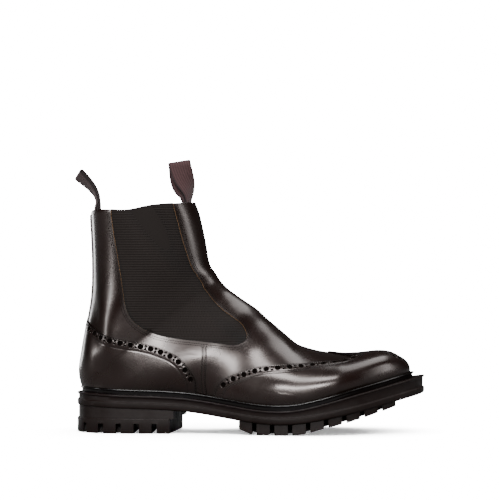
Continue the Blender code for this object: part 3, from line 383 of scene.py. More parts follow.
GORE_END = (0.26, 0.64)
GORE_END_REACH = 30.0
GORE_MIDDLE = (280.0, 0.34)
ELASTIC_DEPTH = 0.0008
ELASTIC_HEM = 0.0006
PUCKER = 0.00012
PUCKER_PITCH = 0.0030
CUT_EDGE_LIFTS = (0.0, -0.0004, -0.0016)
STRIP_RISE = 0.0011
STRIP_SEAM = 0.68
STRIP_EDGE = ((0, 1, 2, 3), (0.0, 0.75, 0.95, 1.0))
SEAM_RISE = 0.0009
SEAM_STITCH = 0.55
STITCH_SHARE = 0.74
STITCH_WIDTH = 0.6
OVERLAY_STITCH = 0.0019
SEAM_STITCH_PITCH = 0.0018
STITCH_SINK = 0.00012
TOE_ROWS_END = 30.0
TABLE_STEPS = 100
SHIFT_STEP = 0.0012
LUG_BEVEL = 0.0009
RUBBER_SHARP = 0.5
WELT_SEAM_INSET = 0.0026
WELT_SEAM_DROP = 0.00025
WELT_SEAM_START = 0.001
WELT_STITCH_PITCH = 0.0036
WELT_STITCH_LENGTH = 0.0029
WELT_THREAD = 0.0008
# The welt's section: how far in from its edge and how far under its top.
WELT_PROFILE = (
    (WELT_REACH, 0.0), (0.0034, 0.0), (0.0029, 0.0004), (0.0023, 0.0004), (0.0018, -0.0001),
    (0.0009, -0.0001), (0.0003, 0.0001), (0.0, 0.0005), (0.0, 0.0010), (0.0004, 0.0015),
    (0.0012, 0.0019), (0.0013, 0.0024), (0.0012, WELT_THICKNESS - 0.0006), (0.0014, WELT_THICKNESS),
    (WELT_REACH, WELT_THICKNESS),
)

# What the materials' patterns measure.
CALF_TINT = (1.0, 0.88, 0.84)
CALF_ROUGHNESS = 0.285
DARK_MATT = 0.1
BURNISH_PATCH = 0.045
POLISH_PATCH = 0.030
PORE_SIZE = 0.0011
PORE_DEPTH = 0.000025
WRINKLE_SIZE = 0.006
WRINKLE_DEPTH = 0.00006
GRAIN_SIZE = 0.0009
GRAIN_DEPTH = 0.00005
FIBRE_SIZE = 0.0004
FIBRE_DEPTH = 0.0001
THREAD_FIBRE = 0.0003
WAX_GRAIN = 0.0014
RUBBER_GRAIN = 0.0008
RUBBER_DEPTH = 0.00006
DUST_PATCH = 0.012
RUBBED_PATCH = 0.008
# A wave texture at scale 1 repeats after this many metres.
WAVE_LENGTH = 0.314
# Woven ribs and wefts: the way that they follow, pitch and depth. They are drawn about twice as
# coarse as real ones, because those would be too fine to show.
ELASTIC_RIBS = ("Y", 0.0022, 0.00030)
ELASTIC_WEFTS = ("X", 0.0016, 0.00010)
TAPE_RIBS = ("X", 0.0022, 0.00020)
TAPE_WEFTS = ("Y", 0.0012, 0.00010)

# The studio.
CAMERA_TURN = 2.5
CAMERA_AWAY = 2.0
CAMERA_HEIGHT = 0.165
CAMERA_LENS = 160.3
CAMERA_SHIFT = (-0.0022, -0.0048)
FLOOR_SIZE = 16.0
WHITE = (1.0, 1.0, 1.0)
FLOOR_BOUNCE = 0.018
FLOOR_GLOW = 0.35
SKY_SEEN = 20.0
SKY_GLOW = 0.04
WASH_STRENGTH = 56.0
WASH_SPREAD = 112.0
WASH_TURN = (-10.0, 0.0, 0.0)
# Soft boxes: name, place, what it faces, width, height and power.
LIGHTS = (
    ("soft_low", (-0.12, -2.30, 0.78), (0.0, 0.0, 0.1), 1.05, 0.44, 60.0),
    ("soft_high", (-0.20, -1.05, 1.55), (0.0, 0.0, 0.1), 1.0, 0.50, 34.0),
    ("soft_left", (-1.60, -0.82, 0.36), (0.0, 0.0, 0.15), 0.20, 0.40, 7.0),
    ("soft_right", (1.75, -0.35, 0.60), (0.0, 0.0, 0.1), 0.35, 1.1, 8.0),
    ("soft_over", (0.60, 0.35, 1.60), (0.0, 0.0, 0.1), 1.0, 0.8, 12.0),
    ("soft_behind", (-1.35, 1.45, 0.35), (0.0, 0.0, 0.1), 0.35, 0.7, 7.0),
)


def column(table, names, name):
    """One named column of a table as an array."""
    return np.array([row[names.index(name)] for row in table], float)


def spline(knots, values, where):
    """Natural cubic spline through the rows of a table, read at any number of places."""
    gaps = np.diff(knots)
    slopes = np.diff(values) / gaps
    matrix = np.eye(len(knots))
    right = np.zeros(len(knots))
    for row in range(1, len(knots) - 1):
        matrix[row, row - 1 : row + 2] = gaps[row - 1], 2 * (gaps[row - 1] + gaps[row]), gaps[row]
        right[row] = 6 * (slopes[row] - slopes[row - 1])
    bend = np.linalg.solve(matrix, right)
    where = np.clip(where, knots[0], knots[-1])
    index = np.clip(np.searchsorted(knots, where, side="right") - 1, 0, len(gaps) - 1)
    left = where - knots[index]
    rest = gaps[index] - left
    return (
        (values[index] * rest + values[index + 1] * left) / gaps[index]
        + (bend[index] * (rest**3 / gaps[index] - rest * gaps[index])) / 6
        + (bend[index + 1] * (left**3 / gaps[index] - left * gaps[index])) / 6
    )


def read(table, names, name, where):
    """A column of a table as a smooth function of the table's first column."""
    return spline(column(table, names, names[0]), column(table, names, name), where)


def sole_along(x):
    """Share of the sole's length at x, 0 at the heel and 1 at the toe."""
    return x / SOLE_LENGTH + 0.5


def welt_top(x):
    """Height of the welt's upper face."""
    along = sole_along(x)
    seat = read(RISE, RISE_COLUMNS, "seat", along)
    toe = read(RISE, RISE_COLUMNS, "toe", along)
    return BALL_HEIGHT + (SEAT_HEIGHT - BALL_HEIGHT) * seat + TOE_SPRING * toe


def outsole_thickness(x):
    """Thickness of the outsole without its lugs."""
    thicker = read(TREAD, TREAD_COLUMNS, "thicker", sole_along(x))
    return OUTSOLE_THICKNESS + (TOE_THICKNESS - OUTSOLE_THICKNESS) * thicker


def outsole_bottom(x):
    """Height of the outsole's underside between the lugs."""
    return welt_top(x) - WELT_THICKNESS - outsole_thickness(x)


def tread_height(x):
    """Height of the lugs' lower faces: on the floor at the ball, rising to the toe."""
    tread = read(TREAD, TREAD_COLUMNS, "tread", sole_along(x))
    return TREAD_RISE * np.maximum(tread, 0.0)


def plan_ends(heel_margin, toe_margin):
    """Both ends of an outline that lies inside the sole's."""
    return heel_margin - SOLE_LENGTH / 2, SOLE_LENGTH / 2 - toe_margin


def plan_width(x, heel_margin, side_margin, toe_margin):
    """Centre and half-width at x of an outline inside the sole's, closed by round caps."""
    low, high = plan_ends(heel_margin, toe_margin)
    along = sole_along(x)
    half = 0.5 * (
        HEEL_WIDTH * read(OUTLINE, OUTLINE_COLUMNS, "heel", along)
        + WAIST_WIDTH * read(OUTLINE, OUTLINE_COLUMNS, "waist", along)
        + BALL_WIDTH * read(OUTLINE, OUTLINE_COLUMNS, "ball", along)
    )
    half = half - np.interp(
        along, (0, 0.3, 0.5, 0.75, 1), (heel_margin, heel_margin, side_margin, side_margin, toe_margin)
    )
    into_heel = np.clip((low + HEEL_CAP_LENGTH - x) / HEEL_CAP_LENGTH, 0, 1)
    into_toe = np.clip((x - high + TOE_CAP_LENGTH) / TOE_CAP_LENGTH, 0, 1)
    cap = (1 - into_heel**CAP_ROUNDNESS) * (1 - into_toe**CAP_ROUNDNESS)
    centre = INFLARE * read(OUTLINE, OUTLINE_COLUMNS, "swing", along)
    return centre, half * cap ** (1 / CAP_ROUNDNESS)


def plan_loop(margins, drop, steps):
    """Closed outline, lateral side from heel to toe and medial side back, DROP under the welt's top."""
    low, high = plan_ends(margins[0], margins[2])
    x = low + (high - low) * (1 - np.cos(np.pi * np.arange(steps + 1) / steps)) / 2
    centre, half = plan_width(x, *margins)
    z = welt_top(x) - (drop(x) if callable(drop) else drop)
    lateral = np.stack([x, centre - half, z], 1)
    medial = np.stack([x, centre + half, z], 1)
    return np.concatenate([lateral, medial[-2:0:-1]])


def grow(margins, inset):
    """The same margins, all moved inwards."""
    return tuple(margin + inset for margin in margins)


def fan_ends(station):
    """Lower end and ridge of the fan's sections."""
    def value(name):
        return read(LAST, LAST_COLUMNS, name, station)

    low, high = plan_ends(UPPER_HEEL_MARGIN, UPPER_TOE_MARGIN)
    base_x = low + (high - low) * value("along") + HEEL_CURVE * value("hollow")
    base_z = welt_top(np.maximum(base_x, low)) + GAP + BACK_RISE * value("climb")
    ridge_x = base_x + (high - low) * value("lead") + COLLAR_DEPTH * value("reach")
    over = TOE_DEPTH * value("toe") + INSTEP_RISE * value("instep") + SHAFT_RISE * value("leg")
    ridge_z = welt_top(np.maximum(base_x, low)) + GAP + over
    return base_x, base_z, ridge_x, ridge_z


def last_table(stations, steps):
    """Points of the last's surface: each section is a squared ellipse cut off at the welt.

    From the lower end the section widens to its widest share and closes over the ridge, both as
    superellipses, and its points are spaced evenly along the half girth on each side.
    """
    base_x, base_z, ridge_x, ridge_z = fan_ends(stations)
    cross = {name: read(CROSS, CROSS_COLUMNS, name, stations) for name in CROSS_COLUMNS[1:]}
    centre, half = plan_width(base_x, UPPER_HEEL_MARGIN, UPPER_SIDE_MARGIN, UPPER_TOE_MARGIN)
    half = np.where(stations >= HEEL_STATION, 0.0, half)
    shared = cross["base"] * half + 0.5 * (HEEL_WIDTH * cross["heel"] + COLLAR_WIDTH * cross["collar"])
    table = np.zeros((len(stations), 2 * steps + 1, 3))
    fine = np.linspace(0, 1, 241)
    for side, name in ((-1, "lateral"), (1, "medial")):
        widest = np.maximum(shared + 0.5 * BALL_WIDTH * np.abs(cross[name]), half * 1.0001 + 1e-7)
        for i in range(len(stations)):
            start = np.arcsin((half[i] / widest[i]) ** (cross["low"][i] / 2))
            angle = start + (np.pi - start) * fine
            low_part = np.abs(np.cos(angle)) ** (2 / cross["low"][i])
            low_part = low_part / max(np.cos(start) ** (2 / cross["low"][i]), 1e-9)
            high_part = np.abs(np.cos(angle)) ** (2 / cross["high"][i])
            share = np.where(
                angle < np.pi / 2,
                cross["widest"][i] * (1 - low_part),
                cross["widest"][i] + (1 - cross["widest"][i]) * high_part,
            )
            power = np.where(angle < np.pi / 2, 2 / cross["low"][i], 2 / cross["high"][i])
            out = widest[i] * np.sin(np.clip(angle, 0, np.pi)) ** power
            shift = BALL_WIDTH * cross["ridge"][i] * share**2
            section = np.stack(
                [
                    base_x[i] + (ridge_x[i] - base_x[i]) * share,
                    centre[i] + shift + side * out,
                    base_z[i] + (ridge_z[i] - base_z[i]) * share,
                ],
                1,
            )
            way = line_way(section)
            even = np.linspace(0, way[-1], steps + 1)
            line = np.stack([np.interp(even, way, section[:, k]) for k in range(3)], 1)
            if side < 0:
                table[i, : steps + 1] = line
            else:
                table[i, steps:] = line[::-1]
    return table


def block(x0, x1, y0, y1, bottom, top):
    """Corners of a six-sided block whose sides follow functions of x."""
    corners = []
    for z in (bottom, top):
        for x, y in ((x0, y0), (x1, y0), (x1, y1), (x0, y1)):
            corners.append((x, float(y(x)), float(z(x))))
    return corners


def forepart_lugs():
    """Blocks of the tread: a row along each side and a row down the middle."""
    def side_line(side, inset):
        def line(x):
            centre, half = plan_width(np.array([x]), 0.0, 0.0, 0.0)
            return centre[0] + side * max(half[0] - inset, 0.0)

        return line

    def bottom(x):
        return tread_height(np.array([x]))[0]

    def top(x):
        return outsole_bottom(np.array([x]))[0] + 0.0015

    blocks = []
    count = int((SOLE_LENGTH / 2 - 0.010 - LUG_START) / LUG_PITCH)
    for k in range(count):
        x0 = LUG_START + k * LUG_PITCH
        x1 = x0 + LUG_PITCH - LUG_GAP
        ends = np.array([x0, x1])
        half = plan_width(ends, 0.0, 0.0, 0.0)[1].min()
        reach = min(LUG_REACH, 0.80 * half)
        for side in (-1, 1):
            lines = side_line(side, LUG_INSET), side_line(side, reach)
            low, high = lines if side < 0 else lines[::-1]
            blocks.append(block(x0, x1, low, high, bottom, top))
        middle = half - LUG_REACH - LUG_GAP
        shift = LUG_PITCH / 2
        if middle > 0.006 and k < count - 1:
            low, high = side_line(-1, reach + LUG_GAP), side_line(1, reach + LUG_GAP)
            blocks.append(block(x0 + shift, x1 + shift, low, high, bottom, top))
    return blocks


def heel_outline(inset, breast, steps):
    """Half outlines of the heel from its back to the breast, which slants towards the medial side."""
    margins = grow((0.0, 0.0, 0.0), inset)
    low = plan_ends(inset, inset)[0]
    turn = 1 - np.cos(np.pi / 2 * np.arange(steps + 1) / steps)
    rows = []
    for side in (-1, 1):
        x = low + (breast + (side > 0) * BREAST_SLANT - low) * turn
        centre, half = plan_width(x, *margins)
        rows.append(np.stack([x, centre + side * half], 1))
    return np.concatenate([rows[0], rows[1][:0:-1]])


BLOCK_FACES = ((3, 2, 1, 0), (4, 5, 6, 7), (0, 1, 5, 4), (1, 2, 6, 5), (2, 3, 7, 6), (3, 0, 4, 7))


def hex_colour(code):
    """sRGB hex digits as linear red, green and blue."""
    parts = np.array([int(code[i : i + 2], 16) / 255 for i in (0, 2, 4)])
    linear = np.where(parts <= 0.04045, parts / 12.92, ((parts + 0.055) / 1.055) ** 2.4)
    return tuple(float(value) for value in linear)


def length_property(name, default, description):
    """A length in metres for the panel."""
    return bpy.props.FloatProperty(
        name=name, description=description, default=default, min=0.0, unit="LENGTH", precision=5
    )


def colour_property(name, code, description):
    """A colour for the panel, given as sRGB hex."""
    return bpy.props.FloatVectorProperty(
        name=name, description=description, default=hex_colour(code), subtype="COLOR", size=3, min=0, max=1
    )


class BootSizes(bpy.types.PropertyGroup):
    """Sizes of the boot's fine work."""

    overlay: length_property("Overlay", 0.0013, "How far the toe and heel overlays stand up")
    gimp_pitch: length_property("Gimp pitch", 0.0027, "Way from one tooth of a gimped edge to the next")
    gimp_depth: length_property("Gimp depth", 0.0006, "Depth of a gimped edge's teeth")
    punch: length_property("Punch", 0.0020, "Radius of the large punched holes")
    small_punch: length_property("Small punch", 0.00080, "Radius of the small punched holes")
    punch_depth: length_property("Punch depth", 0.0012, "Depth of the punched holes")
    stitch: length_property("Stitch", 0.0021, "Way from one stitch to the next")
    thread: length_property("Thread", 0.00060, "Thickness of the thread")
    hollow: length_property("Hollow", 0.0030, "Depth of the soft hollow across the elastic")


class BootColours(bpy.types.PropertyGroup):
    """Colours of the boot's materials."""

    calf: colour_property("Calf", "110503", "The polished leather")
    # Darker leather colour: soft patches and darker edges, and painted shade in holes, stitch grooves and
    # corners.
    dark_tone_and_shade: colour_property("Burnish", "050201", "Leather darkened at seams, holes and edges")
    cut_edge: colour_property("Cut edge", "7a5a3c", "Raw leather at the gore's cut edge")
    elastic: colour_property("Elastic", "110805", "The gore's ribbed elastic")
    tape: colour_property("Tape", "402a2b", "The pull loops' tape")
    tape_edge: colour_property("Tape edge", "080405", "The pull loops' woven edge")
    rubber: colour_property("Rubber", "100604", "Outsole and heel")
    welt: colour_property("Welt", "070404", "The dressed welt edge")
    insole: colour_property("Insole", "a0744e", "The insole's tanned leather")
    lining: colour_property("Lining", "40271a", "The leather lining")
    thread: colour_property("Thread", "0e0604", "Sewing thread")
    floor: colour_property("Floor", "fafafa", "Studio floor")


SHIFT = np.array(FRAME_SHIFT)


def smooth(value):
    """Smooth step from 0 to 1."""
    value = np.clip(value, 0, 1)
    return value * value * (3 - 2 * value)


def bell(value):
    """A soft bump of height 1 and width about 1."""
    return np.exp(-(value**2))


def unit(vectors):
    """The same vectors with length 1."""
    return vectors / np.maximum(np.linalg.norm(vectors, axis=-1, keepdims=True), 1e-12)


def line_way(points):
    """Length along a line of points, from its start."""
    return np.concatenate([[0], np.cumsum(np.linalg.norm(np.diff(points, axis=0), axis=1))])


class LastSurface:
    """The last's surface as a dense table, with its creases, read smoothly at any place."""

    def __init__(self):
        toe = TOE_ROWS_END * np.linspace(0, 1, 60, endpoint=False) ** 1.5
        self.stations = np.concatenate([toe, np.linspace(TOE_ROWS_END, TOP_STATION, 371)])
        self.steps = TABLE_STEPS
        self.points = last_table(self.stations, self.steps)
        self.normals = self.find_normals()
        self.points = self.points + self.normals * self.creases()[..., None]
        self.normals = self.find_normals()
        self.girths = np.linalg.norm(np.diff(self.points, axis=1), axis=2).sum(1) / 2

    def find_normals(self):
        """Unit normals of the table, pointing out of the foot."""
        down = np.gradient(self.points, self.stations, axis=0)
        across = np.gradient(self.points, axis=1)
        normal = np.cross(across, down)
        normal[0] = (1.0, 0.0, 0.0)
        normal = unit(normal)
        closed = self.stations >= HEEL_STATION
        back = unit(normal[closed, 0] + normal[closed, -1])
        normal[closed, 0] = back
        normal[closed, -1] = back
        return normal

    def creases(self):
        """Height of the soft troughs and ridges, each a long bell over the surface.

        A crease lies at a station and girth, turned from the way down the boot, and falls off
        along and across itself. A trough has a low ridge on both sides.
        """
        girths = np.linspace(-1, 1, 2 * self.steps + 1)
        height = np.zeros(self.points.shape[:2])
        for station, girth, turn, along, across, rise in CREASES:
            i = int(np.argmin(np.abs(self.stations - station)))
            j = int(np.argmin(np.abs(girths - girth)))
            away = self.points - self.points[i, j]
            normal = self.normals[i, j]
            down = self.points[i + 2, j] - self.points[i - 2, j]
            down = unit(down - normal * np.dot(down, normal))
            side = np.cross(normal, down)
            angle = np.radians(turn)
            lengthwise = away @ (down * np.cos(angle) + side * np.sin(angle))
            sideways = away @ (side * np.cos(angle) - down * np.sin(angle))
            near = bell(lengthwise / along) * (self.normals @ normal > 0)
            form = bell(sideways / across) - 0.4 * bell((np.abs(sideways) - 1.7 * across) / across)
            height += rise * near * form
        return height

    def sample(self, field, station, girth):
        """A field of the table between its points, by smooth cubic steps both ways."""
        station, girth = np.broadcast_arrays(np.asarray(station, float), np.asarray(girth, float))
        row = np.interp(station, self.stations, np.arange(len(self.stations)))
        col = (np.clip(girth, -1, 1) + 1) * self.steps
        i = np.clip(row.astype(int), 0, len(self.stations) - 2)
        j = np.clip(col.astype(int), 0, 2 * self.steps - 1)
        weights = []
        for t in (row - i, col - j):
            weights.append(
                (
                    ((-t + 2) * t - 1) * t / 2,
                    ((3 * t - 5) * t * t + 2) / 2,
                    ((-3 * t + 4) * t + 1) * t / 2,
                    (t - 1) * t * t / 2,
                )
            )
        found = 0
        for p in range(4):
            rows = np.clip(i + p - 1, 0, len(self.stations) - 1)
            for q in range(4):
                cols = np.clip(j + q - 1, 0, 2 * self.steps)
                found = found + (weights[0][p] * weights[1][q])[..., None] * field[rows, cols]
        return found

    def normal(self, station, girth):
        """Unit normal at a place."""
        return unit(self.sample(self.normals, station, girth))

    def at(self, station, girth, lift=0.0):
        """Point over the surface: GIRTH -1 is the lateral edge, 0 the ridge, 1 the medial edge."""
        lift = np.asarray(lift, float)[..., None]
        return self.sample(self.points, station, girth) + self.normal(station, girth) * lift

    def girth(self, station):
        """Half girth of the section at a station."""
        return np.interp(station, self.stations, self.girths)


CACHE = {}


def last():
    """The last's surface, made once."""
    if "last" not in CACHE:
        CACHE["last"] = LastSurface()
    return CACHE["last"]


def sizes():
    """The panel's sizes."""
    return bpy.context.scene.boot_sizes


def colours():
    """The panel's colours."""
    return bpy.context.scene.boot_colours


def rim_station(girth):
    """Station of the collar's rim, with a notch over the back seam and a sag over each gore."""
    notch = RIM_DIP * STATIONS_PER_METRE * bell((1 - np.abs(girth)) / RIM_NOTCH)
    sag = RIM_SAG * STATIONS_PER_METRE * bell((np.abs(girth) - SAG_GIRTH) / SAG_WIDTH)
    return RIM_STATION - notch - sag


def to_rim(station, girth):
    """Stations of the shaft's top stretched so that the last one is the rim."""
    start = RIM_STATION - RIM_STRETCH
    above = np.clip((station - start) / (RIM_STATION - start), 0, None)
    return np.where(station > start, start + above * (rim_station(girth) - start), station)


def part(points, quads, outward=None, layers=None, look=0):
    """One sheet or solid of a mesh: points, four-cornered faces, attributes and material number."""
    points = points.reshape(-1, 3)
    quads = quads.reshape(-1, 4)
    if outward is not None:
        outward = outward.reshape(-1, 3)
        a, b, c = (points[quads[:, k]] for k in (0, 1, 2))
        facing = np.cross(b - a, c - b)
        if np.sum(facing * outward[quads[:, 0]]) < 0:
            quads = quads[:, ::-1]
    looks = np.broadcast_to(np.ravel(look), (len(quads),))
    return points, quads, dict(layers or {}), looks


def grid_quads(rows, cols, ring=False):
    """Faces of a grid of points, joined round when a RING."""
    ids = np.arange(rows * cols).reshape(rows, cols)
    if ring:
        ids = np.concatenate([ids, ids[:, :1]], 1)
    return np.stack([ids[:-1, :-1], ids[:-1, 1:], ids[1:, 1:], ids[1:, :-1]], -1)


def mesh_object(name, parts, looks, nodes=(), sharp=0.9):
    """Joins parts into one piece of the boot, which rides on it and stands for the CAD's nodes."""
    points = np.concatenate([piece[0] for piece in parts]) + SHIFT
    starts = np.cumsum([0] + [len(piece[0]) for piece in parts[:-1]])
    quads = np.concatenate([piece[1] + start for piece, start in zip(parts, starts)])
    mesh = bpy.data.meshes.new(name)
    mesh.vertices.add(len(points))
    mesh.vertices.foreach_set("co", points.astype(np.float32).ravel())
    mesh.loops.add(quads.size)
    mesh.loops.foreach_set("vertex_index", quads.astype(np.int32).ravel())
    mesh.polygons.add(len(quads))
    mesh.polygons.foreach_set("loop_start", np.arange(0, quads.size, 4, dtype=np.int32))
    numbers = np.concatenate([piece[3] for piece in parts]).astype(np.int32)
    mesh.polygons.foreach_set("material_index", numbers)
    # The float layer is a darkness mask: darker tones of a material, and painted shade.
    for layer, width, kind in (("dark_tone_and_shade", 1, "FLOAT"), ("cloth", 3, "FLOAT_VECTOR")):
        if any(layer in piece[2] for piece in parts):
            values = [np.ravel(piece[2].get(layer, np.zeros(len(piece[0]) * width))) for piece in parts]
            field = mesh.attributes.new(layer, kind, "POINT")
            field.data.foreach_set("value" if width == 1 else "vector", np.concatenate(values))
    mesh.update(calc_edges=True)
    mesh.validate()
    for look in looks:
        mesh.materials.append(look)
    mesh.shade_smooth()
    mesh.set_sharp_from_angle(angle=sharp)
    obj = bpy.data.objects.new(name, mesh)
    bpy.context.scene.collection.objects.link(obj)
    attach(obj, "root")
    if nodes:
        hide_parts(*nodes)
    return obj


def shifted(station, girth, way):
    """A curve on the last moved sideways over the surface by WAY metres, in small steps."""
    surface = last()
    steps = max(1, int(np.ceil(abs(way) / SHIFT_STEP)))
    for _ in range(steps):
        point = surface.at(station, girth)
        normal = surface.normal(station, girth)
        down = (surface.at(station + 2.0, girth) - surface.at(station - 2.0, girth)) / 4.0
        across = (surface.at(station, girth + 0.004) - surface.at(station, girth - 0.004)) / 0.008
        tangent = np.gradient(point, axis=0)
        side = unit(np.cross(normal, tangent)) * way / steps
        e, f, g = (down * down).sum(-1), (down * across).sum(-1), (across * across).sum(-1)
        a, b = (side * down).sum(-1), (side * across).sum(-1)
        area = np.maximum(e * g - f * f, 1e-14)
        station = station + (g * a - f * b) / area
        girth = np.clip(girth + (e * b - f * a) / area, -1, 1)
    return station, girth


def even_curve(station, girth, pitch, first, end):
    """Places along a curve at even steps of length."""
    way = curve_way(station, girth)
    spots = np.arange(first, way[-1] - end + 1e-9, pitch)
    return np.interp(spots, way, station), np.interp(spots, way, girth)


def curve_way(station, girth):
    """Length along a curve on the last."""
    return line_way(last().at(station, girth))


def stitches(station, girth, lift, pitch=None):
    """One row of stitches along a curve: a low bump of thread at each step."""
    surface = last()
    pitch = pitch or sizes().stitch
    width = sizes().thread
    along, round_ = even_curve(station, girth, pitch, pitch / 2, pitch / 2)
    if len(along) < 2:
        return None
    centre = surface.at(along, round_, lift)
    normal = surface.normal(along, round_)
    tangent = unit(np.gradient(centre, axis=0))
    side = np.cross(normal, tangent)
    return stitch_part(centre, tangent, side, normal, pitch * STITCH_SHARE, width)


def stitch_part(centre, tangent, side, normal, length, width):
    """Stitches at given places: each a small grid, highest along its middle, sunk at its ends."""
    ends = np.array((-0.5, -0.30, 0.30, 0.5))
    rise = np.array((-0.5, 0.9, 0.9, -0.5))
    wide = np.array((-1.0, 0.0, 1.0))
    form = np.minimum(rise[:, None], np.array((-0.6, 1.0, -0.6)))
    points = (
        centre[:, None, None]
        + tangent[:, None, None] * (ends * length)[None, :, None, None]
        + side[:, None, None] * (wide * width * STITCH_WIDTH)[None, None, :, None]
        + normal[:, None, None] * (form * width * STITCH_WIDTH)[None, :, :, None]
    )
    count = len(centre)
    quads = grid_quads(4, 3).reshape(1, -1, 4) + (np.arange(count) * 12)[:, None, None]
    outward = np.repeat(normal[:, None], 12, 1)
    return part(points, quads, outward)


def gore_edges(station):
    """Girths of the gore's front and back edges, spread on below its lower corner."""
    low = GORE[0][0]
    front = read(GORE, GORE_COLUMNS, "front", station)
    back = read(GORE, GORE_COLUMNS, "back", station)
    below = smooth((low - station) / GORE_END_REACH)
    return front + (GORE_END[0] - front) * below, back + (GORE_END[1] - back) * below


def upper_columns(station):
    """Girths of the upper's columns: crowded at the gore's edges, from back round to back."""
    front, back = gore_edges(station)
    toward = 1 - (1 - np.linspace(0, 1, 23)) ** 1.5
    between = np.linspace(0, 1, 15)[1:]
    away = (np.linspace(0, 1, 39)[1:]) ** 1.5
    half = np.concatenate(
        [
            front[:, None] * toward,
            front[:, None] + (back - front)[:, None] * between,
            back[:, None] + (1 - back)[:, None] * away,
        ],
        1,
    )
    return np.concatenate([-half[:, ::-1], half[:, 1:]], 1), (22, 36)


def nearest(points, curve):
    """Distance from each point to the nearest point of a curve."""
    flat = points.reshape(-1, 3)
    best = np.full(len(flat), 1e9)
    for start in range(0, len(curve), 60):
        chunk = curve[start : start + 60]
        best = np.minimum(best, ((flat[:, None] - chunk[None]) ** 2).sum(2).min(1))
    return np.sqrt(best).reshape(points.shape[:-1])


def tone_and_shade_near(points, curves, reach):
    """Darkening that falls off within REACH of any of the curves."""
    return np.max([bell(nearest(points, curve) / reach) for curve in curves], axis=0)


def make_upper():
    """The upper: its outside, a turned rim and the lining, with the gores' cut-outs left open.

    The columns of one grid follow the gores' edges, so that the openings have clean edges. Strips
    of raw leather go in from those edges to the elastic.
    """
    surface = last()
    low = GORE[0][0]
    turn = WALL / 2
    outer = np.concatenate(
        [
            30 * np.linspace(0, 1, 24, endpoint=False) ** 1.4,
            np.linspace(30, low - 12, 70, endpoint=False),
            np.linspace(low - 12, low, 14, endpoint=False),
            low + (RIM_STATION - low - turn * STATIONS_PER_METRE) * np.linspace(0, 1, 130) ** 1.15,
        ]
    )
    bend = np.linspace(0, np.pi, 8)[1:-1]
    rounding = RIM_STATION + (np.sin(bend) - 1) * turn * STATIONS_PER_METRE
    inner = np.linspace(RIM_STATION - turn * STATIONS_PER_METRE, 3, 90)
    stations = np.concatenate([outer, rounding, inner])
    lifts = np.concatenate([0 * outer, -turn + turn * np.cos(bend), 0 * inner - WALL])
    girth, (front, back) = upper_columns(stations)
    station = to_rim(np.repeat(stations[:, None], girth.shape[1], 1), girth)
    points = surface.at(station, girth, np.repeat(lifts[:, None], girth.shape[1], 1))
    normal = surface.normal(station, girth)
    normal[len(outer) + 3 :] *= -1
    quads = grid_quads(*girth.shape)
    middle = girth.shape[1] // 2
    away = np.abs(np.arange(girth.shape[1] - 1) + 0.5 - middle)
    in_gore = (away > front) & (away < back)
    turned = np.arange(len(stations) - 1) < len(outer) + len(rounding)
    above = stations[:-1] >= low - 1e-6
    gone = (turned & above)[:, None] & in_gore[None]
    inside = np.arange(len(stations) - 1) >= len(outer) + len(rounding) - 1
    elastic = inside[:, None] & (stations[:-1] > low)[:, None] & in_gore[None]
    looks = np.where(elastic, 2, np.where(inside[:, None], 1, 0) + 0 * in_gore[None])
    share = np.linspace(0, 1, 140)
    curves = []
    for side in (-1, 1):
        edge = np.linspace(low, RIM_STATION, 150)
        for line in gore_edges(edge):
            curves.append(surface.at(edge, side * line))
        for table, names in ((WING, WING_COLUMNS), (COUNTER, COUNTER_COLUMNS)):
            along, away_ = edge_curve(table, names, share)
            curves.append(surface.at(along, side * away_))
        foot = np.linspace(2, HEEL_STATION, 150)
        curves.append(surface.at(foot, side + 0 * foot))
    # Darker along the gores' edges, and painted shade beside the overlays' raised edges and in the corner
    # at the welt.
    dark = 0.6 * tone_and_shade_near(points, curves, PANEL_TONE_AND_SHADE)
    body = part(points, quads, normal, {"dark_tone_and_shade": dark.ravel()}, looks)
    keep = ~gone.ravel()
    body = (body[0], body[1][keep], body[2], body[3][keep])
    strips = [gore_strip(side) for side in (-1, 1)]
    looks = [calf(), lining(), elastic_cloth(), cut_edge()]
    return mesh_object("upper_leather", [body, *strips], looks, ("upper",))


def gore_border(side):
    """A gore's border from the rim down its back edge, round the corner and up its front edge."""
    low = GORE[0][0]
    up = low + (RIM_STATION - low) * np.linspace(0, 1, 150) ** 1.4
    front, back = gore_edges(up)
    corner = np.linspace(back[0], front[0], 8)[1:-1]
    station = np.concatenate([up[::-1], corner * 0 + low, up])
    girth = side * np.concatenate([back[::-1], corner, front])
    return to_rim(station, girth), girth


def gore_strip(side):
    """The leather's raw edge round a gore, from its face in to the elastic."""
    surface = last()
    station, girth = gore_border(side)
    around = [surface.at(station, girth, np.full(len(station), lift)) for lift in CUT_EDGE_LIFTS]
    points = np.stack(around, 1)
    middle = surface.at(0 * station + GORE_MIDDLE[0], 0 * station + side * GORE_MIDDLE[1])
    return part(points, grid_quads(*points.shape[:2]), middle[:, None] - points, None, 3)


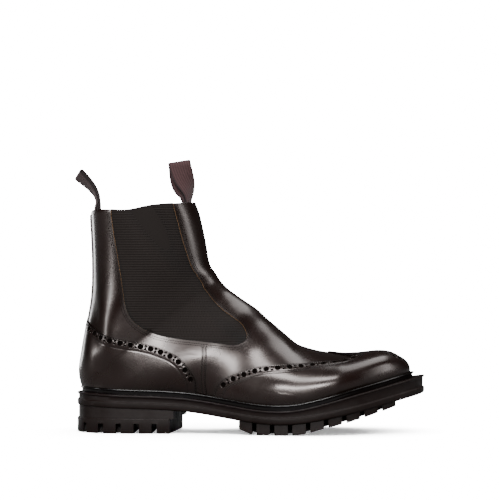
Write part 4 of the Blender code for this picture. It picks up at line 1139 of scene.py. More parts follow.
def make_gore(side, name, node):
    """A gore: ribbed elastic just under the leather's edge, with the soft hollow the photo shows.

    The hollow runs from the rim's middle down to the front edge, deepest between the edges.
    """
    surface = last()
    rows = GORE[0][0] + (RIM_STATION - GORE[0][0]) * np.linspace(0, 1, 210) ** 1.3
    front, back = gore_edges(rows)
    across = np.linspace(0, 1, 100)[None]
    girth = side * (front[:, None] * (1 - across) + back[:, None] * across)
    station = to_rim(np.repeat(rows[:, None], across.shape[1], 1), girth)
    flat = surface.at(station, girth)
    top, foot = np.array(HOLLOW_TOP), np.array(HOLLOW_FOOT)
    along = (foot - top) / np.linalg.norm(foot - top)
    away = (flat[..., 0] - top[0]) * along[1] - (flat[..., 2] - top[1]) * along[0]
    ways = (flat[..., 0] - top[0]) * along[0] + (flat[..., 2] - top[1]) * along[1]
    held = np.sin(np.pi * np.clip(across, 0, 1)) ** 0.8
    dip = bell(away / HOLLOW_WIDTH) - 0.5 * bell((away - 1.9 * HOLLOW_WIDTH) / HOLLOW_WIDTH)
    dip = dip - 0.35 * bell((away + 1.9 * HOLLOW_WIDTH) / HOLLOW_WIDTH)
    lift = -ELASTIC_DEPTH - sizes().hollow * dip * held * smooth(1.15 - ways / np.linalg.norm(foot - top))
    gathered = bell(across / 0.05) + bell((1 - across) / 0.05)
    pucker = PUCKER * np.sin(2 * np.pi * flat[..., 2] / PUCKER_PITCH) * gathered
    points = surface.at(station, girth, lift + pucker)
    normal = surface.normal(station, girth)
    turn = []
    for bend in np.linspace(0, np.pi, 6)[1:]:
        lifts = lift[-1] - ELASTIC_HEM + ELASTIC_HEM * np.cos(bend)
        turn.append(surface.at(station[-1] + 0.5 * np.sin(bend), girth[-1], lifts))
    points = np.concatenate([points, np.stack(turn)])
    normal = np.concatenate([normal, np.repeat(normal[-1:], len(turn), 0)])
    wide = np.abs(girth) * surface.girth(station)
    cloth = np.stack([wide, flat[..., 2], 0 * wide], -1)
    cloth = np.concatenate([cloth, np.repeat(cloth[-1:], len(turn), 0)])
    # The elastic is painted darker near its edges, where it runs under the leather, at its lower corner and
    # along its hollow: painted shade.
    edges = (bell(across / 0.035) + bell((1 - across) / 0.035)) * np.ones_like(wide)
    low = bell((rows[:, None] - rows[0]) / 5.0)
    dark = np.clip(edges + low + 0.7 * dip * held, 0, 1)
    dark = np.concatenate([dark, np.repeat(dark[-1:], len(turn), 0)])
    layers = {"cloth": cloth.ravel(), "dark_tone_and_shade": dark.ravel()}
    body = part(points, grid_quads(*points.shape[:2]), normal, layers)
    return mesh_object(name, [body], [elastic_cloth()], (node,))


def edge_curve(table, names, share):
    """Station and girth along an overlay's edge."""
    return read(table, names, "station", share), read(table, names, "girth", share)


def even_edge(table, names, side, pitch):
    """Share, station and girth at even steps along one side's edge."""
    fine = np.linspace(0, 1, 1500)
    station, girth = edge_curve(table, names, fine)
    way = curve_way(station, side * girth)
    count = int(way[-1] / pitch)
    spots = np.linspace(0, way[-1], count + 1)
    share = np.interp(spots, way, fine)
    station, girth = edge_curve(table, names, share)
    return share, station, side * girth, spots


def inner_curve(table, names, side, way):
    """The curve WAY metres inside an overlay's edge, without the places where it folds back."""
    surface = last()
    _, station, girth, _ = even_edge(table, names, side, 0.0012)
    edge = surface.at(station, girth)
    sense = -side if table is COUNTER else side
    inner_station, inner_girth = shifted(station, girth, sense * way)
    points = surface.at(inner_station, inner_girth)
    other = surface.at(*edge_on(table, names, -side))
    both = np.concatenate([edge, other]) if table is WING else edge
    good = nearest(points, both) > 0.94 * way
    return inner_station[good], inner_girth[good]


def edge_on(table, names, side):
    """Station and girth of the edge on one side."""
    _, station, girth, _ = even_edge(table, names, side, 0.0015)
    return station, girth


def punch_row(table, names, side, way, pitch, first):
    """Large holes at even steps with a pair of small ones between: centres and radii."""
    surface = last()
    station, girth = inner_curve(table, names, side, way)
    large = even_curve(station, girth, pitch, first, ROW_END)
    centres = [surface.at(*large)]
    radii = [np.full(len(large[0]), sizes().punch)]
    middle = even_curve(station, girth, pitch, first + pitch / 2, ROW_END)
    for sideways in (-1, 1):
        centres.append(surface.at(*shifted(*middle, sideways * PAIR_WAY)))
        radii.append(np.full(len(middle[0]), sizes().small_punch))
    return np.concatenate(centres), np.concatenate(radii)


def punched(points, centres, radii, depth):
    """Lift and darkness of punched holes: a steep round dip with a low rim, dark in and round it as painted
    shade.
    """
    flat = points.reshape(-1, 3)
    lift = np.zeros(len(flat))
    dark = np.zeros(len(flat))
    for centre, radius in zip(centres, radii):
        near = np.nonzero(np.abs(flat - centre).max(1) < 1.7 * radius + 0.0004)[0]
        away = np.linalg.norm(flat[near] - centre, axis=1) / radius
        inside = smooth((1.12 - away) / 0.34)
        lift[near] = np.minimum(lift[near], -depth * inside)
        lift[near] += HOLE_RIM * bell((away - 1.35) / 0.22) * (lift[near] > -1e-5)
        # Painted shade in and just round the hole.
        dark[near] = np.maximum(dark[near], smooth((1.45 - away) / 0.35))
    return lift.reshape(points.shape[:-1]), dark.reshape(points.shape[:-1])


def overlay(table, names, foot, lines, grooves, punches, sink=None):
    """An overlay of leather: lines run from its gimped edge down to the welt.

    The first rows stand up from the upper, the next lie close together to hold the punched holes
    and the grooves under the stitching, and the last ones spread to the welt. Heights depend on
    the true distance to the edge and to each hole.
    """
    surface = last()
    thick = sizes().overlay
    tooth, deep = sizes().gimp_pitch, sizes().gimp_depth
    near_rows = np.concatenate([[0, 0, 0.00015, 0.00045], np.arange(0.0009, BAND, BAND_STEP)])
    far_rows = np.linspace(0, 1, lines)[1:] ** 1.15
    total = len(near_rows) + len(far_rows)
    blocks = []
    for side in (-1, 1):
        share, station, girth, spots = even_edge(table, names, side, EDGE_STEP)
        end_s, end_g = foot(share)
        t = np.linspace(0, 1, 50)[None]
        path_s = station[:, None] * (1 - t) + end_s[:, None] * t
        path_g = girth[:, None] * (1 - t) + side * end_g[:, None] * t
        steps = np.linalg.norm(np.diff(surface.at(path_s, path_g), axis=1), axis=2)
        way = np.concatenate([np.zeros((len(steps), 1)), np.cumsum(steps, 1)], 1)
        wave = np.abs((spots / tooth) % 1 * 2 - 1)
        start = deep * smooth(wave) * smooth(way[:, -1] / 0.004)
        at = np.zeros((len(share), total))
        for i, length in enumerate(way[:, -1]):
            band = near_rows * min(1.0, 0.6 * length / BAND)
            rows = np.concatenate([band, band[-1] + (length - band[-1]) * far_rows])
            rows = rows + start[i] * np.exp(-rows / 0.003)
            at[i] = np.interp(rows, way[i], t[0])
        row_s = station[:, None] * (1 - at) + end_s[:, None] * at
        row_g = girth[:, None] * (1 - at) + side * end_g[:, None] * at
        flip = slice(None) if side < 0 else slice(-2, None, -1)
        blocks.append((row_s[flip], row_g[flip]))
    station = np.concatenate([block[0] for block in blocks]).T
    girth = np.concatenate([block[1] for block in blocks]).T
    flat = surface.at(station, girth)
    edge = surface.at(station[0], girth[0])
    lift = np.full(station.shape, thick)
    lift[:4] = np.array(EDGE_RISE)[:, None] * thick
    dark = np.zeros(station.shape)
    band_rows = len(near_rows) + 6
    way = nearest(flat[:band_rows], edge)
    # Each stitch groove dips and is painted darker: painted shade in the groove.
    for groove in grooves:
        lift[:band_rows] -= GROOVE_DIP * bell((way - groove) / GROOVE_WIDTH)
        dark[:band_rows] = np.maximum(dark[:band_rows], 0.75 * bell((way - groove) / GROOVE_WIDTH))
    middle = 0.5 * (grooves[0] + grooves[-1])
    lift[4:band_rows] += BAND_SWELL * bell((way[4:] - middle) / BAND_SWELL_WIDTH)
    # The overlay is darker at its edge, and a little darker over its band.
    dark[:band_rows] = np.maximum(dark[:band_rows], 0.95 * bell(way / EDGE_DARK))
    dark[:band_rows] = np.maximum(dark[:band_rows], 0.12 * smooth(1.4 - way / 0.009))
    # The punched holes are dark as painted shade for their depth.
    centres = np.concatenate([row[0] for row in punches])
    radii = np.concatenate([row[1] for row in punches])
    dip, holes = punched(flat, centres, radii, sizes().punch_depth)
    lift += dip
    dark = np.maximum(dark, holes)
    # Painted shade where the overlay meets the welt.
    foot_line = surface.at(station[-1], girth[-1])[::4]
    dark = np.maximum(dark, 0.7 * tone_and_shade_near(flat, [foot_line], FOOT_SHADE))
    if sink:
        lift += sink(station, girth)
    points = surface.at(station, girth, lift)
    normal = surface.normal(station, girth)
    # Faces deep in a hole take the black material as painted shade; the first rows, the edge's cut wall,
    # are black too.
    faces = holes[:-1, :-1] + holes[1:, :-1] + holes[:-1, 1:] + holes[1:, 1:]
    pierced = (faces > 2.9).astype(int)
    pierced[:3] = 1
    return part(points, grid_quads(*station.shape), normal, {"dark_tone_and_shade": dark.ravel()}, pierced)


def wing_foot(share):
    """Where the toe overlay's lines end: along the welt, and at the toe's tip for its peak."""
    t = np.clip(1 - share / WING_TURN, 0, 1)
    return (WING[0][1] - 1.5) * t**1.15, np.where(share < WING_TURN, 1.0, (1 - share) / (1 - WING_TURN))


def counter_foot(share):
    """Where the heel overlay's lines end on the welt."""
    start = COUNTER[0][1] + 1.5
    return start + (HEEL_STATION - start) * share**0.9, 1.0 + 0 * share


def make_wing():
    """The toe overlay: W-shaped gimped edge, punched rows, grooves for the stitching and the punched toe
    pattern.
    """
    punches = [
        punch_row(WING, WING_COLUMNS, side, WING_PUNCH_WAY, WING_PUNCH_PITCH, WING_ROW_START)
        for side in (-1, 1)
    ]

    def sink(station, girth):
        inside = smooth((MEDAL_END - 1.5 - station) / 1.2) * smooth((station - MEDAL_START - 1.0) / 1.0)
        return -MEDAL_SINK * inside * smooth((MEDAL_GIRTH - 0.02 - np.abs(girth)) / 0.02)

    body = overlay(WING, WING_COLUMNS, wing_foot, WING_LINES, WING_GROOVES, punches, sink)
    looks = [calf(), pierced_leather()]
    return mesh_object("wing_tip_leather", [body, medallion()], looks, ("wing_tip",))


def medallion():
    """The toe's punched pattern on a fine patch of the overlay: rings, arcs and a trailing line."""
    surface = last()
    rows = np.linspace(MEDAL_START, MEDAL_END, 118)
    cols = np.linspace(-MEDAL_GIRTH, MEDAL_GIRTH, 190)
    station, girth = np.meshgrid(rows, cols, indexing="ij")
    flat = surface.at(station, girth)
    centres, radii = [], []
    for forward, sideways, radius in medal_holes():
        place = MEDAL_MIDDLE - forward * STATIONS_PER_METRE
        for side in (-1, 1) if sideways else (1,):
            centres.append(surface.at(place, side * sideways / surface.girth(place)))
            radii.append(radius)
    # The holes' darkness is painted shade; faces deep in them take the black material.
    dip, dark = punched(flat, centres, radii, sizes().punch_depth)
    lift = sizes().overlay + 0.00003 + dip
    points = surface.at(station, girth, lift)
    normal = surface.normal(station, girth)
    faces = dark[:-1, :-1] + dark[1:, :-1] + dark[:-1, 1:] + dark[1:, 1:]
    pierced = (faces > 2.9).astype(int)
    return part(points, grid_quads(*station.shape), normal, {"dark_tone_and_shade": dark.ravel()}, pierced)


def medal_holes():
    """Holes of the toe's pattern as (forward, sideways, radius), one side of its middle line.

    Small holes ring a large one, an arc of holes stands off on each side, and a bowed line of
    small ones trails towards the ankle.
    """
    big, mid, small = sizes().punch, 0.75 * sizes().punch, sizes().small_punch
    holes = [(0.0, 0.0, big), (0.0140, 0.0, mid), (-0.0150, 0.0, mid), (-0.0190, 0.0, small)]
    for k in range(7):
        angle = np.pi * k / 6
        holes.append((MEDAL_RING * np.cos(angle), abs(MEDAL_RING * np.sin(angle)) * (0 < k < 6), small))
    for first, count, radius in ((15, 6, mid), (29, 5, small)):
        for k in range(count):
            angle = np.radians(first + MEDAL_TURN * k)
            holes.append((MEDAL_ARC * np.cos(angle), MEDAL_SPREAD + MEDAL_ARC * np.sin(angle), radius))
    for k in range(5):
        holes.append((-0.0105 - 0.0021 * k, 0.0020 + 0.0012 * k * (4 - k) / 2, small))
    return holes


def make_counter():
    """The heel overlay with its gimped edge, punched row and grooves for the stitching."""
    punches = [
        punch_row(COUNTER, COUNTER_COLUMNS, side, COUNTER_PUNCH_WAY, COUNTER_PUNCH_PITCH, COUNTER_ROW_START)
        for side in (-1, 1)
    ]
    body = overlay(COUNTER, COUNTER_COLUMNS, counter_foot, COUNTER_LINES, COUNTER_GROOVES, punches)
    looks = [calf(), pierced_leather()]
    return mesh_object("heel_counter_leather", [body], looks, ("heel_counter",))


def make_back_strip():
    """The strip over the back seam, with rounded edges, from under the rim to the heel overlay."""
    surface = last()
    rows = np.linspace(COUNTER[-1][1] - 2.0, RIM_STATION - 0.5, 130)
    q = np.concatenate([[-1, -1], np.linspace(-0.96, 0.96, 17), [1, 1]])
    width = STRIP_WIDTH / 2 / surface.girth(rows)
    away = 1 - width[:, None] * np.abs(q)[None]
    girth = np.where(q[None] < 0, -away, away)
    station = to_rim(np.repeat(rows[:, None], len(q), 1), girth)
    rise = np.minimum(1, np.interp(np.minimum(np.arange(len(q)), np.arange(len(q))[::-1]), *STRIP_EDGE))
    rise = rise - 0.2 * bell((np.abs(q) - STRIP_SEAM) / 0.10)
    points = surface.at(station, girth, np.repeat(STRIP_RISE * rise[None], len(rows), 0))
    # Darker at the strip's edges, and painted shade along the sunk stitch lines.
    dark = np.maximum(bell((1 - np.abs(q)) / 0.2), 0.6 * bell((np.abs(q) - STRIP_SEAM) / 0.14))
    dark = np.repeat(dark[None], len(rows), 0)
    body = part(points, grid_quads(*girth.shape), surface.normal(station, girth), {"dark_tone_and_shade": dark.ravel()})
    return mesh_object("back_strip_leather", [body], [calf()], ("back_strip",))


def make_side_seam(side, name, node):
    """The narrow raised strip from the gore's lower edge to the welt."""
    surface = last()
    station, girth = edge_curve(SEAM, SEAM_COLUMNS, np.linspace(0, 1, 70))
    girth = side * girth
    q = np.array((-1, -1, -0.9, -0.55, -0.2, 0.2, 0.55, 0.9, 1, 1))
    rise = np.array((0.0, 0.8, 1.0, 0.70, 1.0, 1.0, 0.70, 1.0, 0.8, 0.0))
    columns = [shifted(station, girth, place * SEAM_WIDTH / 2) for place in q]
    station = np.stack([column_[0] for column_ in columns], 1)
    girth = np.stack([column_[1] for column_ in columns], 1)
    points = surface.at(station, girth, np.repeat(SEAM_RISE * rise[None], len(station), 0))
    # Darker at the strip's edges, and painted shade along the sunk stitch lines.
    dark = np.maximum(bell((1 - np.abs(q)) / 0.25), 0.8 * bell((np.abs(q) - SEAM_STITCH) / 0.2))
    dark = np.repeat(dark[None], len(station), 0)
    body = part(points, grid_quads(*girth.shape), surface.normal(station, girth), {"dark_tone_and_shade": dark.ravel()})
    return mesh_object(name, [body], [calf()], (node,))


def make_stitching():
    """All the sewing on the leather: double rows round the gores, rows along the overlays and strips."""
    surface = last()
    thick = sizes().overlay
    parts = []
    for side in (-1, 1):
        low = GORE[0][0]
        up = low + (RIM_STATION - 1.5 - low) * np.linspace(0, 1, 400) ** 1.3
        front, back = gore_edges(up)
        for way in GORE_STITCH_WAYS:
            for edge, sense in ((front, 1), (back, -1)):
                station, girth = shifted(up, side * edge, side * sense * way)
                parts.append(stitches(station, girth, 0.0001))
        for table, names, ways in (
            (WING, WING_COLUMNS, WING_GROOVES),
            (COUNTER, COUNTER_COLUMNS, COUNTER_GROOVES),
        ):
            for way in ways:
                station, girth = inner_curve(table, names, side, way)
                parts.append(stitches(station, girth, thick - STITCH_SINK, OVERLAY_STITCH))
        rows = np.linspace(COUNTER[-1][1] + 2, RIM_STATION - 2, 200)
        away = 1 - STRIP_SEAM * STRIP_WIDTH / 2 / surface.girth(rows)
        parts.append(stitches(to_rim(rows, side * away), side * away, 0.0010))
        station, girth = edge_curve(SEAM, SEAM_COLUMNS, np.linspace(0.03, 1, 200))
        for way in (-SEAM_STITCH, SEAM_STITCH):
            line = shifted(station, side * girth, way * SEAM_WIDTH / 2)
            parts.append(stitches(*line, 0.0007, SEAM_STITCH_PITCH))
    return mesh_object("stitching", [piece for piece in parts if piece], [thread()])


def loop_path(table, seat, steps):
    """Middle line, width direction, facing and layer gap of a folded tape, as the table says."""
    share = np.linspace(0, 1, steps)
    forward = seat[0] + LOOP_RISE * read(table, LOOP_COLUMNS, "forward", share)
    up = seat[2] + LOOP_RISE * read(table, LOOP_COLUMNS, "up", share)
    twist = np.radians(read(table, LOOP_COLUMNS, "twist", share))
    apart = read(table, LOOP_COLUMNS, "apart", share)
    path = np.stack([forward, np.full(steps, seat[1]), up], 1)
    along = unit(np.gradient(path, axis=0))
    level = np.stack([along[:, 2], np.zeros(steps), -along[:, 0]], 1)
    wide = np.cos(twist)[:, None] * np.array((0.0, 1.0, 0.0)) + np.sin(twist)[:, None] * level
    out = np.cross(wide, along)
    return share, path, along, wide, out, apart


def make_loop(name, node, table, seat, cup):
    """A folded tape of ribbed webbing: up one layer, round the fold and down the other."""
    share, path, along, wide, out, apart = loop_path(table, seat, 60)
    turn = np.linspace(0, np.pi, 16)[1:-1, None]
    fold = path[-1] + 0.5 * apart[-1] * (out[-1] * np.cos(turn) + along[-1] * np.sin(turn))
    fold_out = out[-1] * np.cos(turn) + along[-1] * np.sin(turn)
    half = out * apart[:, None] / 2
    middle = np.concatenate([path + half, fold, (path - half)[::-1]])
    facing = np.concatenate([out, fold_out, -out[::-1]])
    width = np.concatenate([wide, np.repeat(wide[-1:], len(fold), 0), wide[::-1]])
    bow = np.concatenate([out * (1 - share[:, None]), 0 * fold, out[::-1] * (1 - share[::-1, None])])
    q = np.linspace(-1, 1, 25)
    edge = TAPE_THICKNESS / 2 * (1 - 0.55 * bell((1 - np.abs(q)) / 0.06))
    around = np.concatenate([q, q[::-1]])
    lift = np.concatenate([edge, -edge[::-1]])
    points = (
        middle[:, None]
        + width[:, None] * around[None, :, None] * TAPE_WIDTH / 2
        + bow[:, None] * (cup * around**2)[None, :, None]
        + facing[:, None] * lift[None, :, None]
    )
    way = line_way(middle)
    cloth = np.zeros(points.shape)
    cloth[..., 0] = around[None] * TAPE_WIDTH / 2
    cloth[..., 1] = way[:, None]
    dark = np.repeat(smooth((np.abs(around) - 0.90) / 0.05)[None], len(points), 0)
    layers = {"cloth": cloth.ravel(), "dark_tone_and_shade": dark.ravel()}
    outward = facing[:, None] * np.sign(lift)[None, :, None]
    body = part(points, grid_quads(*points.shape[:2], ring=True), outward, layers)
    return mesh_object(name, [body], [webbing()], (node,))


def facing_out(points, quads):
    """The faces of a closed solid, turned round if they enclose a negative volume."""
    a, b, c, d = (points[quads[:, k]] for k in range(4))
    volume = np.sum(np.cross(a, b) * c) + np.sum(np.cross(a, c) * d)
    return quads if volume > 0 else quads[:, ::-1]


def profile_part(rows, ring=False):
    """A side wall or a ring from closed outlines, and flat ruled caps when it isn't a RING."""
    loops = np.stack(rows)
    if ring:
        loops = np.concatenate([loops, loops[:1]])
    count = loops.shape[1]
    quads = grid_quads(*loops.shape[:2], ring=True).reshape(-1, 4)
    if not ring:
        half = count // 2
        caps = []
        for start in (0, (len(loops) - 1) * count):
            i = np.arange(half)
            caps.append(start + np.stack([i, i + 1, (count - i - 1) % count, (count - i) % count], 1))
        quads = np.concatenate([quads, caps[0], caps[1][:, ::-1]])
    points = loops.reshape(-1, 3)
    return part(points, facing_out(points, quads))


def make_welt():
    """The welt: a black strip with a rounded lip and a sewn groove on top, all round the foot."""
    margins = (WELT_HEEL_MARGIN, WELT_SIDE_MARGIN, WELT_TOE_MARGIN)
    loops = [plan_loop(grow(margins, inset), drop, SOLE_STEPS) for inset, drop in WELT_PROFILE]
    parts = [profile_part(loops, ring=True)]
    loop = plan_loop(grow(margins, WELT_SEAM_INSET), WELT_SEAM_DROP, 400)
    way = line_way(loop)
    spots = np.arange(WELT_SEAM_START, way[-1], WELT_STITCH_PITCH)
    centre = np.stack([np.interp(spots, way, loop[:, k]) for k in range(3)], 1)
    tangent = unit(np.gradient(centre, axis=0))
    up = np.repeat(np.array([[0.0, 0.0, 1.0]]), len(centre), 0)
    sewn = stitch_part(centre, tangent, np.cross(up, tangent), up, WELT_STITCH_LENGTH, WELT_THREAD)
    parts.append((*sewn[:3], sewn[3] + 1))
    return mesh_object("welt_strip", parts, [dressed_edge(), thread()], ("welt",))


def bevelled_block(corners, bevel):
    """A lug with its lower edges taken off: corners as the part has them, bottom ones first."""
    low, high = np.array(corners[:4]), np.array(corners[4:])
    middle = low.mean(0)
    inward = unit((middle - low) * np.array((1, 1, 0)))
    foot = low + inward * bevel
    waist = low + np.array((0, 0, bevel * 0.7))
    loops = np.stack([high, waist, foot])
    points = loops.reshape(-1, 3)
    sides = grid_quads(3, 4, ring=True).reshape(-1, 4)
    quads = np.concatenate([sides, [[8, 9, 10, 11]], [[3, 2, 1, 0]]])
    return part(points, facing_out(points, quads))


def make_outsole():
    """The outsole with its lip, recess and rib, and the forepart's lugs with their edges taken off."""
    edge = (0.0, 0.0, 0.0)
    top = WELT_THICKNESS
    mid = WELT_THICKNESS + LIP_HEIGHT

    def above(height):
        return lambda x: WELT_THICKNESS + outsole_thickness(x) - height

    rows = (
        (0.0010, top), (0.0003, top + 0.0001), (0.0, top + 0.0005), (0.0, mid - 0.0003), (0.0003, mid),
        (GROOVE_DEPTH - 0.0001, mid + 0.0007), (GROOVE_DEPTH + 0.0001, mid + 0.0011),
        (GROOVE_DEPTH + 0.0001, above(RIB_HEIGHT + 0.0011)),
        (GROOVE_DEPTH - 0.0002, above(RIB_HEIGHT + 0.0007)),
        (0.0003, above(RIB_HEIGHT + 0.0002)), (0.0, above(RIB_HEIGHT - 0.0002)), (0.0, above(0.0018)),
        (0.0004, above(0.0009)), (0.0012, above(0.0003)), (0.0022, above(0.0)),
    )
    loops = [plan_loop(grow(edge, inset), drop, SOLE_STEPS) for inset, drop in rows]
    parts = [profile_part(loops)]
    parts += [bevelled_block(corners, LUG_BEVEL) for corners in forepart_lugs()]
    return mesh_object("outsole_rubber", parts, [rubber()], ("outsole",), RUBBER_SHARP)


def heel_levels(levels):
    """Outlines of a heel lift at levels of inset, breast and height."""
    rows = []
    for inset, breast, height in levels:
        flat = heel_outline(inset, breast, HEEL_STEPS)
        rows.append(np.column_stack([flat, height(flat[:, 0])]))
    return rows


def flat_top(height):
    """A level height, whatever x."""
    return lambda x: 0 * x + height


def make_heel():
    """The recessed lift and the slotted top piece that stands on the floor."""
    block_rows = (
        (HEEL_BLOCK_INSET, HEEL_BREAST, lambda x: outsole_bottom(x) + 0.0002),
        (HEEL_BLOCK_INSET, HEEL_BREAST, lambda x: outsole_bottom(x) - 0.0060),
        (HEEL_BLOCK_INSET, HEEL_BREAST, flat_top(TOP_PIECE_THICKNESS)),
    )
    lift = [profile_part(heel_levels(block_rows))]
    mesh_object("heel_lift", lift, [rubber()], ("heel_block",), RUBBER_SHARP)
    breast = HEEL_BREAST - BREAST_STEP
    rows = (
        (0.0012, breast - 0.0010, flat_top(TOP_PIECE_THICKNESS)),
        (0.0004, breast - 0.0004, flat_top(TOP_PIECE_THICKNESS - 0.0001)),
        (0.0, breast, flat_top(TOP_PIECE_THICKNESS - 0.0006)),
        (0.0, breast, flat_top(0.0010)),
        (0.0003, breast - 0.0002, flat_top(0.0003)),
        (0.0010, breast - 0.0008, flat_top(0.0)),
    )
    top = [profile_part(heel_levels(rows))]
    cut_slots(mesh_object("heel_top", top, [rubber()], ("heel_top_piece",), RUBBER_SHARP))


def heel_slots():
    """Blocks that cut the top piece's slots: two across the whole heel, the rest in from its sides."""
    blocks = []
    for k in range(5):
        x1 = HEEL_BREAST - 0.0145 - k * HEEL_SLOT_PITCH
        x0 = x1 - HEEL_SLOT_WIDTH * (1.0 if k < 4 else 0.6)
        if k < 2:
            spans = ((-HEEL_WIDTH, HEEL_WIDTH),)
        else:
            edge = plan_width(np.array([(x0 + x1) / 2]), 0.0, 0.0, 0.0)[1][0]
            inner = edge - HEEL_SLOT_REACH * (1.0 if k < 4 else 0.7)
            spans = ((-HEEL_WIDTH, -inner), (inner, HEEL_WIDTH))
        for span in spans:
            low, high, bottom, top = (flat_top(level) for level in (*span, -0.005, HEEL_SLOT_DEPTH))
            blocks.append(block(x0, x1, low, high, bottom, top))
    return blocks


def cut_slots(piece):
    """Cuts the heel's slots with blocks, and keeps the result as the piece's own mesh."""
    parts = [part(np.array(corners), np.array(BLOCK_FACES)) for corners in heel_slots()]
    points = np.concatenate([p[0] for p in parts]) + SHIFT
    quads = np.concatenate([p[1] + 8 * k for k, p in enumerate(parts)])
    mesh = bpy.data.meshes.new("slots")
    mesh.from_pydata(points.tolist(), [], quads.tolist())
    cutter = bpy.data.objects.new("slots", mesh)
    bpy.context.scene.collection.objects.link(cutter)
    modifier = piece.modifiers.new("slots", "BOOLEAN")
    modifier.operation = "DIFFERENCE"
    modifier.solver = "EXACT"
    modifier.object = cutter
    graph = bpy.context.evaluated_depsgraph_get()
    cut = bpy.data.meshes.new_from_object(piece.evaluated_get(graph))
    piece.modifiers.clear()
    piece.data = cut
    cut.shade_smooth()
    cut.set_sharp_from_angle(angle=RUBBER_SHARP)
    bpy.data.objects.remove(cutter, do_unlink=True)


def feed(tree, node, sockets):
    """Gives each named or numbered input of a node its value or its link."""
    for key, value in sockets.items():
        socket = node.inputs[key]
        if isinstance(value, bpy.types.NodeSocket):
            tree.links.new(value, socket)
        else:
            socket.default_value = (*value, 1.0) if socket.type == "RGBA" else value


def shader(name, sockets):
    """A Principled material with its inputs, and its node tree and shader."""
    look = bpy.data.materials.new(name)
    look.use_nodes = True
    base = look.node_tree.nodes["Principled BSDF"]
    feed(look.node_tree, base, sockets)
    return look, look.node_tree, base


def add(tree, kind, output, sockets=None, **settings):
    """Adds a node with its settings, feeds its inputs and returns one of its outputs."""
    node = tree.nodes.new(kind)
    for key, value in settings.items():
        setattr(node, key, value)
    feed(tree, node, sockets or {})
    return node.outputs[output]


def darker(colour, share):
    """A colour times a share."""
    return tuple(share * part for part in colour)


def cached(make):
    """Keeps a material after it is first made."""

    def made():
        if make.__name__ not in CACHE:
            CACHE[make.__name__] = make()
        return CACHE[make.__name__]

    return made


@cached
def calf():
    """Polished calf: deep brown, darker in soft patches and at its edges, and darker as painted shade in
    holes, stitch grooves and corners, with a fine grain under the wax.

    The uneven gloss gives broad soft highlights, and the thin coat a sharper one over them.
    """
    paint = colours()
    look, tree, base = shader(
        "polished calf leather", {"Coat Weight": 0.25, "Coat Roughness": 0.20, "Specular Tint": CALF_TINT}
    )
    place = add(tree, "ShaderNodeTexCoord", "Object")
    dark_tone_and_shade = add(tree, "ShaderNodeAttribute", "Fac", attribute_name="dark_tone_and_shade")
    clouds = {"Vector": place, "Scale": 1 / BURNISH_PATCH, "Detail": 2.0}
    patch = add(tree, "ShaderNodeTexNoise", "Fac", clouds)
    patch = add(tree, "ShaderNodeMapRange", "Result", {0: patch, 1: 0.35, 2: 0.75, 3: 0.0, 4: 0.45})
    tint = add(tree, "ShaderNodeMix", 2, {0: patch, 6: paint.calf, 7: paint.dark_tone_and_shade}, data_type="RGBA")
    # The mask darkens the colour: darker edges, and painted shade in holes, grooves and corners.
    tint = add(tree, "ShaderNodeMix", 2, {0: dark_tone_and_shade, 6: tint, 7: paint.dark_tone_and_shade}, data_type="RGBA")
    strokes = {"Vector": place, "Scale": 1 / POLISH_PATCH, "Detail": 3.0}
    gloss = add(tree, "ShaderNodeTexNoise", "Fac", strokes)
    gloss = add(tree, "ShaderNodeMapRange", "Result", {0: gloss, 1: 0.3, 2: 0.7, 3: 0.75, 4: 1.15})
    gloss = add(tree, "ShaderNodeMath", 0, {0: gloss, 1: CALF_ROUGHNESS}, operation="MULTIPLY")
    dark_cubed = add(tree, "ShaderNodeMath", 0, {0: dark_tone_and_shade, 1: 3.0}, operation="POWER")
    matt = add(tree, "ShaderNodeMath", 0, {0: dark_cubed, 1: DARK_MATT, 2: gloss}, operation="MULTIPLY_ADD")
    pores = add(tree, "ShaderNodeTexNoise", "Fac", {"Vector": place, "Scale": 1 / PORE_SIZE, "Detail": 4.0})
    pores = add(tree, "ShaderNodeBump", 0, {"Height": pores, "Distance": PORE_DEPTH})
    wrinkles = {"Vector": place, "Scale": 1 / WRINKLE_SIZE, "Detail": 2.0}
    wrinkles = add(tree, "ShaderNodeTexNoise", "Fac", wrinkles)
    grain = add(tree, "ShaderNodeBump", 0, {"Height": wrinkles, "Distance": WRINKLE_DEPTH, "Normal": pores})
    feed(tree, base, {"Base Color": tint, "Roughness": matt, "Normal": grain})
    return look


def grained(name, sockets, size, depth, detail):
    """A material with an even grain: SIZE and DEPTH in metres."""
    look, tree, base = shader(name, sockets)
    place = add(tree, "ShaderNodeTexCoord", "Object")
    grain = add(tree, "ShaderNodeTexNoise", "Fac", {"Vector": place, "Scale": 1 / size, "Detail": detail})
    feed(tree, base, {"Normal": add(tree, "ShaderNodeBump", 0, {"Height": grain, "Distance": depth})})
    return look, tree, base, place


@cached
def pierced_leather():
    """The inside of a punched hole, black as painted shade, and the cut wall of a gimped edge, also black:
    rough, without gloss.
    """
    sockets = {"Base Color": colours().dark_tone_and_shade, "Roughness": 0.9, "Specular IOR Level": 0.05}
    return grained("black cut wall and painted hole shade", sockets, FIBRE_SIZE, GRAIN_DEPTH, 2.0)[0]


@cached
def cut_edge():
    """Raw leather at a cut edge: a thin tan line."""
    sockets = {"Base Color": colours().cut_edge, "Roughness": 0.7}
    return grained("raw leather edge", sockets, FIBRE_SIZE, FIBRE_DEPTH, 2.0)[0]


